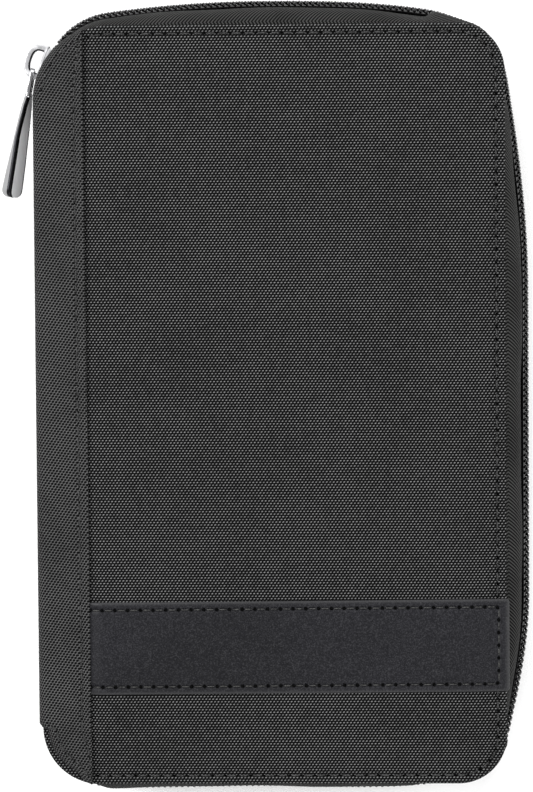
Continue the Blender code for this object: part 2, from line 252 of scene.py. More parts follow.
def startMaterial(name, **sockets):
    material = bpy.data.materials.new(name)
    material.use_nodes = True
    tree = material.node_tree
    shader = tree.nodes["Principled BSDF"]
    for key, value in sockets.items():
        socket = shader.inputs[key.replace("_", " ")]
        socket.default_value = (*value, 1.0) if isinstance(value, tuple) else value
    return material, tree, shader, tree.nodes.new("ShaderNodeTexCoord")


def clothAxes(tree, coords, slant=0.0):
    # the cloth's own two directions, in metres, from its UV map
    split = tree.nodes.new("ShaderNodeSeparateXYZ")
    tree.links.new(coords.outputs["UV"], split.inputs[0])
    x, y = split.outputs[0], split.outputs[1]
    if slant:
        y = calc(tree, "ADD", y, calc(tree, "MULTIPLY", x, slant))
    return x, y


def dotLattice(tree, x, y, shape):
    # a round-edged dot at the middle of each cell, every other row half a cell along;
    # gives how far out a point is in its own dot, and a random number for each cell
    v = calc(tree, "DIVIDE", y, shape["row"] * mm)
    rowNumber = calc(tree, "FLOOR", v)
    half = calc(tree, "MULTIPLY", calc(tree, "FLOORED_MODULO", rowNumber, 2.0), 0.5)
    u = calc(tree, "ADD", calc(tree, "DIVIDE", x, shape["pitch"] * mm), half)
    fx = calc(tree, "SUBTRACT", calc(tree, "FRACT", u), 0.5)
    fy = calc(tree, "SUBTRACT", calc(tree, "FRACT", v), 0.5)
    fy = calc(tree, "MULTIPLY_ADD", fx, -shape["lean"], fy)
    fx, fy = (calc(tree, "DIVIDE", f, reach) for f, reach in zip((fx, fy), shape["reach"]))
    fx, fy = (calc(tree, "MULTIPLY", f, f) for f in (fx, fy))
    far = calc(tree, "SQRT", calc(tree, "ADD", fx, fy))
    cell = tree.nodes.new("ShaderNodeCombineXYZ")
    tree.links.new(calc(tree, "FLOOR", u), cell.inputs[0])
    tree.links.new(rowNumber, cell.inputs[1])
    each = tree.nodes.new("ShaderNodeTexWhiteNoise")
    each.noise_dimensions = "2D"
    tree.links.new(cell.outputs[0], each.inputs["Vector"])
    return far, each.outputs["Value"]


weave = {                    # the covers: light dots on black
    "pitch": 0.912, "row": 0.694, "reach": (0.37, 0.30), "lean": 0.35, "slant": 0.0, "dot": (0.35, 1.0, 1.0, 0.0),
    "yarn": (0.55, 0.72), "patch": (40.0, 0.86, 1.14), "height": (0.00016, 0.7),
    "dark": (0.0015, 0.0015, 0.0016), "light": (0.172, 0.172, 0.172),
}
netWeave = {                 # the spine: a grey net with black pits
    "pitch": 0.865, "row": 0.694, "reach": (0.44, 0.48), "lean": 0.3, "slant": 0.12, "dot": (0.72, 1.35, 0.0, 1.0),
    "yarn": (0.35, 0.8), "patch": (45.0, 0.85, 1.15), "height": (0.00013, 0.6),
    "dark": (0.0012, 0.0012, 0.0013), "light": (0.100, 0.100, 0.100),
}


def wovenCloth(name, shape):
    material, tree, shader, coords = startMaterial(name, Roughness=0.75, Specular_IOR_Level=0.05)
    x, y = clothAxes(tree, coords, shape["slant"])
    far, each = dotLattice(tree, x, y, shape)
    dot = ease(tree, far, *shape["dot"])
    scale, thin, full = shape["patch"]
    yarn = calc(tree, "MULTIPLY_ADD", each, *shape["yarn"])
    yarn = calc(tree, "MULTIPLY", yarn, ease(tree, noise(tree, coords, scale, 3.0), 0.25, 0.75, thin, full))
    share = calc(tree, "MULTIPLY", dot, yarn, clamp=True)
    tree.links.new(mixColour(tree, share, shape["dark"], shape["light"]), shader.inputs["Base Color"])
    bump(tree, shader, (dot, *shape["height"]), (noise(tree, coords, 5000.0, 1.0), 0.00005, 0.35))
    return material


def ribWave(tree, x, length):
    # a sine along x, from 0 to 1
    return calc(tree, "MULTIPLY_ADD", calc(tree, "SINE", calc(tree, "MULTIPLY", x, 6.2832 / length)), 0.5, 0.5)


tapeWeave = {"zigzag": 0.012, "steep": 0.9, "rib": 0.00092, "sharp": 1.6}


def zipTapeCloth():
    material, tree, shader, coords = startMaterial("zipTapeCloth", Roughness=0.78, Specular_IOR_Level=0.05)
    s, w = clothAxes(tree, coords)
    zig = calc(tree, "PINGPONG", w, tapeWeave["zigzag"])
    twill = ribWave(tree, calc(tree, "MULTIPLY_ADD", zig, tapeWeave["steep"], s), tapeWeave["rib"])
    twill = calc(tree, "POWER", twill, tapeWeave["sharp"])
    patch = ease(tree, noise(tree, coords, 60.0, 3.0), 0.3, 0.7, 0.8, 1.15)
    share = calc(tree, "MULTIPLY", twill, patch, clamp=True)
    tree.links.new(mixColour(tree, share, (0.0008, 0.0008, 0.0008), (0.046, 0.046, 0.045)), shader.inputs["Base Color"])
    bump(tree, shader, (twill, 0.00010, 0.6), (noise(tree, coords, 6000.0, 1.0), 0.00004, 0.3))
    return material


def bandLeather():
    material, tree, shader, coords = startMaterial("bandLeather", Roughness=0.5, Specular_IOR_Level=0.14)
    grain = noise(tree, coords, 3000.0, 2.0, 0.6)
    fold = noise(tree, coords, 420.0, 4.0, 0.6)
    patch = noise(tree, coords, 26.0, 3.0)
    toneWearAndHighlight = mixColour(tree, ease(tree, patch, 0.3, 0.7), (0.0095, 0.0095, 0.0112), (0.0150, 0.0148, 0.0180))
    toneWearAndHighlight = mixColour(tree, ease(tree, grain, 0.38, 0.62, 0.75, 0.0), toneWearAndHighlight, (0.003, 0.003, 0.004))     # pores
    toneWearAndHighlight = mixColour(tree, ease(tree, grain, 0.52, 0.72, 0.0, 0.6), toneWearAndHighlight, (0.036, 0.036, 0.039))      # raised grain
    rim = tree.nodes.new("ShaderNodeAttribute")
    rim.attribute_name = "rim"                # 1 along the edges, where edge wear and a painted highlight on the rolled edge lighten the leather, 0 inside
    # painted highlight with edge wear: the rim is mixed towards a lighter leather colour
    toneWearAndHighlight = mixColour(tree, rim.outputs["Fac"], toneWearAndHighlight, (0.050, 0.050, 0.051))
    tree.links.new(toneWearAndHighlight, shader.inputs["Base Color"])
    tree.links.new(ease(tree, fold, 0.3, 0.7, 0.42, 0.56), shader.inputs["Roughness"])
    bump(tree, shader, (grain, 0.00007, 0.5), (fold, 0.00010, 0.3))
    return material


def speckled(name, scale, detail, dark, light, height=None, gloss=None, **sockets):
    # a plain stuff whose colour wanders between two shades, in a noise that can also raise it
    material, tree, shader, coords = startMaterial(name, **sockets)
    fleck = noise(tree, coords, scale, detail)
    tree.links.new(mixColour(tree, ease(tree, fleck, 0.3, 0.7), dark, light), shader.inputs["Base Color"])
    if gloss:
        tree.links.new(ease(tree, fleck, 0.3, 0.7, *gloss), shader.inputs["Roughness"])
    if height:
        bump(tree, shader, (fleck, height, 0.6))
    return material


def plated(name, colour, metallic, scale, gloss, height=None, detail=4.0, rough=0.6):
    # metal that handling has left a little uneven: noise sets how rough it is between two values
    material, tree, shader, coords = startMaterial(name, Base_Color=colour, Metallic=metallic, Roughness=gloss[2])
    handling = noise(tree, coords, scale, detail, rough)
    tree.links.new(ease(tree, handling, gloss[3], 0.75, *gloss[:2]), shader.inputs["Roughness"])
    if height:
        bump(tree, shader, (handling, *height))
    return material


def liningCloth():
    material, tree, shader, coords = startMaterial("liningCloth", Roughness=0.7, Specular_IOR_Level=0.12)
    x, y = clothAxes(tree, coords)
    warp, weft = (calc(tree, "SINE", calc(tree, "MULTIPLY", axis, 6.2832 / 0.00046)) for axis in (x, y))
    plain = calc(tree, "MULTIPLY_ADD", calc(tree, "MULTIPLY", warp, weft), 0.5, 0.5)
    patch = ease(tree, noise(tree, coords, 50.0, 3.0), 0.3, 0.7, 0.82, 1.12)
    share = calc(tree, "MULTIPLY", plain, patch, clamp=True)
    tree.links.new(mixColour(tree, share, (0.030, 0.030, 0.033), (0.085, 0.085, 0.092)), shader.inputs["Base Color"])
    bump(tree, shader, (plain, 0.00006, 0.5))
    return material


def bindingTape():
    material, tree, shader, coords = startMaterial("bindingTape", Roughness=0.65, Specular_IOR_Level=0.1)
    rib = ribWave(tree, clothAxes(tree, coords)[0], 0.0006)
    tree.links.new(mixColour(tree, rib, (0.008, 0.008, 0.008), (0.035, 0.035, 0.036)), shader.inputs["Base Color"])
    bump(tree, shader, (rib, 0.00007, 0.5))
    return material


def clearVinyl():
    material, tree, shader, coords = startMaterial(
        "clearVinyl", Base_Color=(0.92, 0.94, 0.95), Roughness=0.12, Transmission_Weight=0.9, IOR=1.4)
    bump(tree, shader, (noise(tree, coords, 22.0, 1.0), 0.0001, 0.1))
    return material


cloth = {
    "weave": wovenCloth("dottedWeave", weave),
    "spine": wovenCloth("spineWeave", netWeave),
    "tape": zipTapeCloth(),
    "leather": bandLeather(),
    "lining": liningCloth(),
    "binding": bindingTape(),
    "vinyl": clearVinyl(),
    "coil": speckled("coilNylon", 700.0, 2.0, (0.0008, 0.0008, 0.0008), (0.0025, 0.0025, 0.0026),
                     gloss=(0.08, 0.18), Roughness=0.12, Specular_IOR_Level=0.4),
    "thread": speckled("blackThread", 2600.0, 2.0, (0.006, 0.006, 0.006), (0.060, 0.060, 0.060), 0.00006,
                       Roughness=0.6, Specular_IOR_Level=0.12),
    "bandThread": speckled("bandThread", 2200.0, 2.0, (0.008, 0.008, 0.008), (0.060, 0.060, 0.058), 0.00006,
                           Roughness=0.5, Specular_IOR_Level=0.2),
    # near-black stuff for the needle holes: painted shade
    "hole": speckled("needleHoleShade", 3000.0, 1.0, (0.0012, 0.0012, 0.0012), (0.004, 0.004, 0.004),
                     Roughness=0.95, Specular_IOR_Level=0.0),
    "board": speckled("boardFibre", 900.0, 3.0, (0.2, 0.2, 0.21), (0.3, 0.3, 0.31), Roughness=0.7),
    # platings, and light, dark and grey copies of metal for painted light and shade: how rough from and to, the plain
    # value, and where in the noise it starts
    "chrome": plated("polishedChrome", (0.50, 0.50, 0.515), 1.0, 420.0, (0.12, 0.26, 0.16, 0.35), (0.00002, 0.12)),
    # a dark copy of the metal: painted shade on the slider arch's inner side and a painted dark reflection on the pull
    # tab
    "paintedShade": plated("paintedShadeMetal", (0.020, 0.020, 0.022), 1.0, 500.0, (0.22, 0.42, 0.3, 0.35)),
    # a light copy of the metal with no metal in it: a painted lit face for the pull tab
    "paintedLight": plated("paintedLightMetal", (0.86, 0.86, 0.87), 0.0, 900.0, (0.36, 0.52, 0.36, 0.3), (0.00002, 0.2)),
    "cast": plated("castMetal", (0.43, 0.43, 0.44), 0.35, 700.0, (0.24, 0.42, 0.3, 0.3), (0.00003, 0.25)),
    # a grey copy of the metal for the pull tab's rounded edge, part of its painted light and shade
    "edge": plated("paintedGreyEdge", (0.21, 0.21, 0.215), 0.0, 900.0, (0.3, 0.44, 0.36, 0.3), detail=2.0, rough=0.5),
}
print("materials made")


def finishPiece(obj, body, replaces=()):
    if body:
        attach(obj, body)
    if replaces:
        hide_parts(*replaces)
    return obj


def closedPiece(name, grid, body, material, replaces=(), uv=None):
    # a grid of points as one closed skin: each row is a loop, and a face closes each end
    rows, cols = grid.shape[:2]
    ends = [np.arange(cols)[None, ::-1], (rows - 1) * cols + np.arange(cols)[None, :]]
    if uv is not None:
        uv = uv.reshape(-1, 2) * mm
    obj = newObject(name, grid.reshape(-1, 3), [gridFaces(rows, cols), *ends], uv, material=cloth[material])
    outward(obj)
    return finishPiece(obj, body, replaces)


def clothMap(along, across):
    # a strip's cloth coordinates: how far along it and how far across
    return np.stack(np.broadcast_arrays(along[:, None], across[None]), -1)


def skinBothSides(face, inside, z):
    # a strip's outer and inner faces as one closed loop at each place along it
    z = np.broadcast_to(z, face.shape[:2])[..., None]
    return np.concatenate([np.concatenate([face, z], -1), np.concatenate([inside, z], -1)[:, ::-1]], 1)


def flipToBack(points):
    # the back cover is the front cover turned over in the middle plane
    flipped = np.array(points, float)
    flipped[..., 2] = cover["thick"] - flipped[..., 2]
    return flipped


stitch = {"pitch": 3.35, "length": 2.35, "width": 0.46, "rise": 0.2, "hole": 0.30}
spineStitch = {**stitch, "hole": 0.17, "rise": 0.12}
bandStitch = {**stitch, "hole": 0.43, "length": 1.9, "width": 0.36, "rise": 0.08, "thread": "bandThread"}


def resample(path, step, start=0.0, end=0.0):
    # points at equal distances along a path of points, with the directions there
    path = np.asarray(path, float)
    gaps = np.linalg.norm(np.diff(path, axis=0), axis=1)
    total = np.concatenate([[0], np.cumsum(gaps)])
    count = max(2, int(round((total[-1] - start - end) / step)) + 1)
    at = np.linspace(start, total[-1] - end, count)
    ahead, behind = np.clip(at + 0.3, 0, total[-1]), np.clip(at - 0.3, 0, total[-1])
    spots = np.stack([np.interp(at, total, column) for column in path.T], -1)
    along = np.stack([np.interp(ahead, total, column) - np.interp(behind, total, column) for column in path.T], -1)
    along /= np.maximum(np.linalg.norm(along, axis=1, keepdims=True), 1e-9)
    return spots, along, at


def stitchRow(name, path, up, body, shape=stitch):
    # one short arched thread for each stitch: a rounded tube whose ends dip into the cloth
    spots, along, _ = resample(path, shape["pitch"], shape["pitch"] / 2, shape["pitch"] / 2)
    up = np.broadcast_to(np.asarray(up, float), spots.shape)
    side = np.cross(up, along)
    side /= np.maximum(np.linalg.norm(side, axis=1, keepdims=True), 1e-9)
    rings, around = 7, 6
    t = np.linspace(-1, 1, rings)
    a = np.arange(around) / around * 2 * math.pi
    radius = shape["width"] / 2 * np.sqrt(np.clip(1 - np.abs(t) ** 4 * 0.75, 0, 1))
    lift = shape["rise"] * (1 - t ** 2 * 2.2)
    lengthwise = np.repeat(t * shape["length"] / 2, around)
    across = (radius[:, None] * np.cos(a)).ravel()
    upward = (lift[:, None] + radius[:, None] * 0.75 * np.sin(a)).ravel()
    points = (spots[:, None] + along[:, None] * lengthwise[None, :, None]
              + side[:, None] * across[None, :, None] + up[:, None] * upward[None, :, None])
    count = len(spots)
    offset = (np.arange(count) * rings * around)[:, None, None]
    quads = (gridFaces(rings, around)[None] + offset).reshape(-1, 4)
    caps = np.stack([np.arange(around)[::-1], (rings - 1) * around + np.arange(around)])
    caps = (caps[None] + offset).reshape(-1, around)
    # needle holes between the threads: low near-black lens shapes that lie in the groove, painted shade for the inside
    # of each hole
    holes, holeAlong, _ = resample(path, shape["pitch"])
    holeUp = np.broadcast_to(up[0], holes.shape)
    holeSide = np.cross(holeUp, holeAlong)
    b = np.arange(8) / 8 * 2 * math.pi
    size = np.array([0.0, 0.55, 1.0, 0.55, 0.0])
    level = np.array([0.10, 0.085, 0.02, -0.12, -0.16])
    flat = size[1:4, None] * shape["hole"]
    lens = (holes[:, None, None] + holeAlong[:, None, None] * (flat * np.cos(b))[None, ..., None] * 1.15
            + holeSide[:, None, None] * (flat * np.sin(b))[None, ..., None]
            + holeUp[:, None, None] * level[None, 1:4, None, None])
    poles = holes[:, None] + holeUp[:, None] * level[[0, 4]][None, :, None]
    lensPoints = np.concatenate([poles[:, :1], lens.reshape(len(holes), -1, 3), poles[:, 1:]], 1)
    each = lensPoints.shape[1]
    start = len(points.reshape(-1, 3)) + (np.arange(len(holes)) * each)[:, None, None]
    walls = (1 + gridFaces(3, 8)[None] + start).reshape(-1, 4)
    k = np.arange(8)
    topFan = np.stack([np.zeros(8, int), 1 + (k + 1) % 8, 1 + k], -1)
    lowFan = np.stack([np.full(8, each - 1), 17 + k, 17 + (k + 1) % 8], -1)
    fans = (np.concatenate([topFan, lowFan])[None] + start).reshape(-1, 3)
    everything = np.concatenate([points.reshape(-1, 3), lensPoints.reshape(-1, 3)])
    obj = newObject(name, everything, [quads, caps, walls, fans], material=cloth[shape.get("thread", "thread")])
    obj.data.materials.append(cloth["hole"])
    slots = np.zeros(len(obj.data.polygons), np.int32)
    slots[len(quads) + len(caps):] = 1
    obj.data.polygons.foreach_set("material_index", slots)
    facesOut(obj)
    return finishPiece(obj, body)


def puckers(path, x, y, pitch, reach, depth):
    # dimples where the needle went in: nearest hole's distance, turned to a smooth pit
    spots = resample(path, pitch)[0]
    flatX, flatY = x.ravel(), y.ravel()
    pit = np.zeros(flatX.shape)
    for low in range(0, len(flatX), 20000):
        dx = flatX[low:low + 20000, None] - spots[None, :, 0]
        dy = flatY[low:low + 20000, None] - spots[None, :, 1]
        near = np.sqrt((dx * dx + dy * dy).min(1))
        pit[low:low + 20000] = np.exp(-(near / reach) ** 2)
    return -pit.reshape(x.shape) * depth


panelShape = {
    "roll": 1.1,             # radius of the folded edge
    "stitchInset": 2.35,
    "groove": 0.28,
    "padding": 0.75,         # height of the padding over the edge
    "paddingReach": 9.0,
}


def coverStitchPath(inset, z):
    # up to the spine cloth's edge and round the three free sides
    loop = roundedLoops(-cover["halfW"], cover["halfW"], -cover["halfH"], cover["halfH"],
                        (cover["openRadius"], cover["openRadius"], cover["spineRadius"], cover["footRadius"]),
                        [inset], 0.8)[0]
    start = int(np.argmin(np.hypot(loop[:, 0] - seamX(-97), loop[:, 1] + cover["halfH"] - inset)))
    loop = np.roll(loop, -start, axis=0)
    keep = loop[:, 0] > seamX(loop[:, 1]) + 1.0
    loop = loop[keep]
    return np.column_stack([loop, np.full(len(loop), z)])


def paddedHeight(x, y):
    # height over the cover's outer face: rolled edge, stitched groove, then padding that crowns softly
    shape = panelShape
    d = insetOf(x, y)
    r = shape["roll"]
    edge = np.where(d < r, np.sqrt(np.clip(r * r - (r - np.clip(d, 0, r)) ** 2, 0, None)) - r, 0.0)
    groove = -shape["groove"] * np.exp(-((d - shape["stitchInset"]) / 0.7) ** 2)
    pad = shape["padding"] * smoothStep((d - shape["stitchInset"]) / shape["paddingReach"])
    lip = 0.18 * np.exp(-((d - 1.25) / 0.6) ** 2)
    return edge + groove + pad + lip


def coverPanel(side):
    shape = panelShape
    insets = np.concatenate([[52, 20, 6, 2.2, 1.0, 0.35, 0.1], [0.0, 0.0, 0.02, 0.1, 0.25, 0.5, 0.8, 1.1, 1.4],
                             np.arange(1.7, 3.4, 0.22), [3.7, 4.2, 4.8, 5.5, 6.3, 7.2, 8.4, 10, 12, 15, 19, 24,
                                                         30, 37, 45, 53, 60.5]])
    heights = np.zeros(len(insets))
    heights[:8] = [-1.35, -1.35, -1.35, -1.35, -1.35, -1.32, -1.2, -shape["roll"]]
    loops = roundedLoops(-cover["halfW"] + 1.0, cover["halfW"], -cover["halfH"], cover["halfH"],
                         (cover["openRadius"], cover["openRadius"], cover["spineRadius"], cover["footRadius"]),
                         insets, 0.62)
    x, y = loops[..., 0], loops[..., 1]
    z = np.repeat(heights[:, None], x.shape[1], 1)
    top = np.arange(len(insets)) >= 8
    z[top] = paddedHeight(x[top], y[top])
    needle = coverStitchPath(shape["stitchInset"], 0.0)
    z[top] += puckers(needle[:, :2], x[top], y[top], stitch["pitch"], 0.6, 0.28)
    z[top] += ripple(x[top], y[top], 3 if side == "front" else 4, 46.0, 0.10) * smoothStep(insetOf(x[top], y[top]) / 12)
    under = smoothStep((cover["seamTop"] + 3.5 - x[top]) / 4.0)     # flattened where the spine cloth covers it
    z[top] = z[top] * (1 - under) + np.minimum(z[top], -0.45) * under
    if side == "front":
        b = bandShape
        inBand = smoothStep((y[top] - b["low"] + 1.5) / 3.0) * smoothStep((b["high"] + 1.5 - y[top]) / 3.0)
        z[top] -= inBand * 0.35 * smoothStep((insetOf(x[top], y[top]) - 1) / 3)
    points = np.stack([x, y, z + cover["thick"]], -1)
    if side == "back":
        points[..., 2] = np.minimum(points[..., 2], cover["thick"])
        points = flipToBack(points)
    closedPiece(side + "CoverPanel", points, side + "_cover", "weave", (side + "_panel",),
                points[..., :2])
    z = cover["thick"] - 0.16
    path = coverStitchPath(shape["stitchInset"], z)
    up = (0, 0, 1)
    if side == "back":
        path = flipToBack(path)
        up = (0, 0, -1)
    stitchRow(side + "CoverStitches", path, up, side + "_cover")


bandShape = {
    "slope": 0.006,          # rise towards the open side
    "low": -75.2,
    "high": -50.9,
    "right": 62.0,
    "thick": 0.80,
    "stitchInset": 2.05,
}

for side in ("front", "back"):
    coverPanel(side)
print("cover panels made")


def bandBase(x, y):
    d = insetOf(x, y)
    rest = 0.12 + 0.38 * smoothStep((d - 1.0) / 9.0)
    over = np.maximum(x - 59.9, 0)
    tucked = 1 - smoothStep((x - seamX(y) - 0.2) / 2.6)
    return cover["thick"] + rest - 0.16 * over ** 2 - 0.75 * tucked


def accentBand():
    shape = bandShape
    insets = np.concatenate([[10.5, 6, 3, 1.2, 0.5, 0.2, 0.05], [0.0, 0.0, 0.04, 0.12, 0.26, 0.42, 0.6, 0.85],
                             np.arange(1.1, 3.2, 0.2), [3.5, 4.2, 5, 6, 7.5, 9, 10.5, 11.6]])
    low, high = -0.25, shape["thick"] - 0.12
    z = np.full(len(insets), high)
    z[:7] = [low, low, low, low, low + 0.02, low + 0.1, low + 0.2]
    z[7:15] = high + np.array([-0.55, -0.36, -0.2, -0.1, -0.04, 0.0, 0.02, 0.03])
    loops = roundedLoops(-50.2, shape["right"], shape["low"], shape["high"], (0.9, 0.9, 0.4, 0.4), insets, 0.6)
    x, y = loops[..., 0], loops[..., 1]
    heights = np.repeat(z[:, None], x.shape[1], 1)
    edge = np.minimum(np.minimum(shape["high"] - y, y - shape["low"]), shape["right"] - x)
    onTop = (np.arange(len(insets)) >= 8)[:, None]
    groove = -0.26 * np.exp(-((edge - shape["stitchInset"]) / 0.5) ** 2) - 0.05 * smoothStep((edge - 2.0) / 1.5)
    needle = bandStitchPath(0.0)
    holes = puckers(needle, x, y, stitch["pitch"], 0.5, 0.16)
    soft = ripple(x, y, 11, 24.0, 0.07) * smoothStep(edge / 4)
    heights = heights + onTop * (groove + holes + soft)
    heights += bandBase(x, y)
    points = np.stack([x, y + shape["slope"] * x, heights], -1)
    obj = closedPiece("leatherBand", points, "front_cover", "leather", ("accent_band",), points[..., :2])
    # lighter rim along the band's edges: edge wear and a painted highlight on the rolled edge
    rimWearAndHighlight = 0.42 * np.exp(-((edge - 0.25) / 0.36) ** 2) + 0.05 * smoothStep((1.5 - edge) / 0.6)
    rim = obj.data.attributes.new("rim", "FLOAT", "POINT")
    rim.data.foreach_set("value", np.clip(rimWearAndHighlight, 0, 1).ravel().astype(np.float32))
    path = resample(bandStitchPath(0.0), 0.5)[0]
    path[:, 2] = bandBase(path[:, 0], path[:, 1]) + shape["thick"] - 0.10
    path[:, 1] += shape["slope"] * path[:, 0]
    stitchRow("bandStitches", path, (0, 0, 1), "front_cover", bandStitch)


def bandStitchPath(z):
    shape = bandShape
    d, e = shape["stitchInset"], 2.8
    left, right, low, high = -47.6, shape["right"] - e, shape["low"] + d, shape["high"] - d
    turn = np.radians(np.linspace(90, 0, 7))
    r = 0.9
    corner = np.column_stack([right - r + r * np.cos(turn), high - r + r * np.sin(turn)])
    below = corner[::-1] * np.array([1, -1]) + np.array([0, high + low])
    path = np.concatenate([[[left, high]], corner, below, [[left, low]]])
    return np.column_stack([path, np.full(len(path), z)])


accentBand()
print("band made")


wrap = {
    "spineHalf": 84.0,       # the spine cloth's straight part ends here
    "corner": 1.9,           # radius where the spine turns onto a cover
    "cloth": 0.75,           # folded thickness
    "over": 1.0,             # how far it stands over the panel beside it
    "topstitch": 2.45,       # from the folded edge
    "footTuck": 2.3,         # the foot corner stands back so that the coil shows past it
}


def wrapRails():
    # matching points on the cover's outline and on the folded edge, from the lower tip to the upper one:
    # round a corner each pair lies on a line through the arc's centre
    ends = []
    for sign, r, tuck in ((-1, cover["footRadius"], wrap["footTuck"]), (1, cover["spineRadius"], 0.0)):
        cx, cy = -cover["halfW"] + r, cover["halfH"] - r
        seam = float(seamX(sign * cover["halfH"] * 0.9))
        angle = np.linspace(0, math.acos((cx - seam) / r) - 0.002, 46)
        share = np.linspace(0, 1, 46)
        width = r - (cx - seam) / np.cos(angle)
        tucked = r - tuck * smoothStep((r * np.sin(angle) + cy - 83.6) / 1.3) * (1 - smoothStep((share - 0.72) / 0.26))
        outer = np.column_stack([cx - tucked * np.cos(angle), sign * (cy + tucked * np.sin(angle))])
        inner = np.column_stack([np.full(46, seam), sign * (cy + (cx - seam) * np.tan(angle))])
        inner[:, 0] += (seamX(inner[:, 1]) - seam) * smoothStep(width / 3)
        ends.append((outer, inner, cy))
    (lowOuter, lowInner, lowY), (highOuter, highInner, highY) = ends
    ys = np.linspace(-lowY, highY, int((lowY + highY) / 1.1))[1:-1]
    middleOuter = np.column_stack([np.full(len(ys), -cover["halfW"]), ys])
    middleInner = np.column_stack([seamX(ys), ys])
    return (np.concatenate([lowOuter[::-1], middleOuter, highOuter]),
            np.concatenate([lowInner[::-1], middleInner, highInner]))


def spineWrap(side):
    shape = wrap
    outer, inner = wrapRails()
    width = np.linalg.norm(inner - outer, axis=1)
    width = np.maximum(width, 0.35)
    direction = (inner - outer) / np.maximum(np.linalg.norm(inner - outer, axis=1, keepdims=True), 1e-6)
    direction[np.linalg.norm(inner - outer, axis=1) < 0.2] = (0.3, -0.95)
    y = outer[:, 1]
    thick, th = cover["thick"], shape["cloth"]
    over = shape["over"] if side == "front" else 0.35      # the back lies flatter
    free = smoothStep((np.abs(y) - shape["spineHalf"] + 0.6) / 1.4)
    zLow = (cover["mid"] + 0.08) * (1 - free) + (thick - 2.1) * free
    rc = np.minimum(shape["corner"], 0.42 * width)
    fold = np.minimum(0.42, 0.2 * width)
    top = thick + over
    turn = np.linspace(0, math.pi / 2, 8)
    down = np.linspace(0, 1, 22)
    across = np.unique(np.concatenate([np.linspace(0, 0.55, 14), np.linspace(0.55, 1, 30)]))
    rows = []
    sag = 0.22 * np.sin(np.clip((y + shape["spineHalf"]) / (2 * shape["spineHalf"]), 0, 1) * math.pi)
    for offset in (0.0, th):
        r = np.maximum(rc - offset, 0.05)[:, None]
        zTop = top - offset
        z1 = zLow[:, None] * (1 - down) + (zTop - r) * down
        bow = sag[:, None] * np.sin(np.clip((z1 - 1) / (thick - 2), 0, 1) * math.pi) * (1 - free[:, None])
        d1 = offset + bow
        d2 = offset + r * (1 - np.cos(turn))
        z2 = zTop - r + r * np.sin(turn)
        start, end = offset + r, (width - fold)[:, None]
        d3 = start + (end - start) * across[None]
        z3 = np.full_like(d3, zTop)
        rows.append([d1, z1, d2, z2, d3, z3])
    (a1, b1, a2, b2, a3, b3), (c1, e1, c2, e2, c3, e3) = rows     # outer and inner: side, turn and top
    w = width[:, None]
    fromFold = w - a3
    relief = (-0.22 * np.exp(-((fromFold - shape["topstitch"]) / 0.55) ** 2)
              + 0.20 * smoothStep((fromFold - shape["topstitch"]) / 3.0) * smoothStep((a3 - 1.5) / 3.0))
    relief *= smoothStep(w / 7)
    yTop = y[:, None] + 0 * a3
    relief += ripple(a3 * 2.0, yTop, 21 if side == "front" else 22, 15.0, 0.09) * smoothStep(a3 / 3) * smoothStep(w / 6)
    border = np.exp(-((a3 - 2.35) / 0.6) ** 2) * smoothStep((np.abs(yTop) - 80) / 4.0) * smoothStep(w / 3)
    relief -= 0.26 * border
    b3 = b3 + relief
    roll = np.linspace(0, math.pi, 7)[1:-1]
    foldD = a3[:, -1:] + fold[:, None] * np.sin(roll)
    foldZ = (b3[:, -1:] + e3[:, -1:]) / 2 + (b3[:, -1:] - e3[:, -1:]) / 2 * np.cos(roll)
    d = np.concatenate([a1, a2[:, 1:], a3[:, 1:], foldD, c3[:, ::-1], c2[:, ::-1][:, 1:], c1[:, ::-1][:, 1:]], 1)
    z = np.concatenate([b1, b2[:, 1:], b3[:, 1:], foldZ, e3[:, ::-1], e2[:, ::-1][:, 1:], e1[:, ::-1][:, 1:]], 1)
    xy = outer[:, None] + direction[:, None] * d[..., None]
    points = np.concatenate([xy, z[..., None]], -1)
    # the weave lies square on the cover and runs on over the edge: a point's place, moved out by its depth
    depth = np.maximum(top - z, 0)
    uv = xy - direction[:, None] * depth[..., None]
    if side == "back":
        points = flipToBack(points)
    stands = (side + "_spine_strip",) + (("spine_panel",) if side == "front" else ())
    obj = closedPiece(side + "SpineWrap", points, None, "spine", stands, uv)
    if side == "front":
        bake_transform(obj)
    else:
        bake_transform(obj)
    # topstitch beside the folded edge, then the border stitch round each corner
    up = np.array([0, 0, 1.0])
    keep = (width > 6.0)
    line = (outer + direction * (width - shape["topstitch"])[:, None])[keep]
    height = thick + over - 0.12
    path = np.column_stack([line, np.full(len(line), height)])
    rowsOfThread = [path]
    for sign in (1, -1):
        pick = (y * sign > 82.5) & (width > 2.6)
        corner = (outer + direction * 2.35)[pick]
        rowsOfThread.append(np.column_stack([corner, np.full(len(corner), height)]))
    for number, run in enumerate(rowsOfThread):
        if side == "back":
            run = flipToBack(run)
        stitchRow(f"{side}SpineStitches{number}", run, up if side == "front" else -up, side + "_cover", spineStitch)


for side in ("front", "back"):
    spineWrap(side)
print("spine cloth made")


zipShape = {
    "startX": -57.5, "cornerRadius": 17.5, "cornerY": 83.5, "footX": -42.5, "footY": 83.2, "footRadius": 16.6,
    "proud": 0.2, "topCrown": 103.5, "bottomCrown": 99.4, "bulge": 65.4,
    "tape": 0.7, "upright": 5.0, "endTop": 36.0, "endBottom": 13.0, "topArcEnd": 82.5, "bottomArcEnd": 89.4,
    "coilPitch": 1.56, "wire": 0.70, "coilHigh": 0.60, "coilWide": 1.02, "coilOut": 1.16, "coilApart": 0.72,
    "footHug": 1.3, "cornerHug": 1.9,
}
zipCorner = np.array([zipShape["startX"] + zipShape["cornerRadius"], zipShape["cornerY"]])
zipFoot = np.array([zipShape["footX"], zipShape["footY"]])          # mirrored: the corner at the foot of the spine


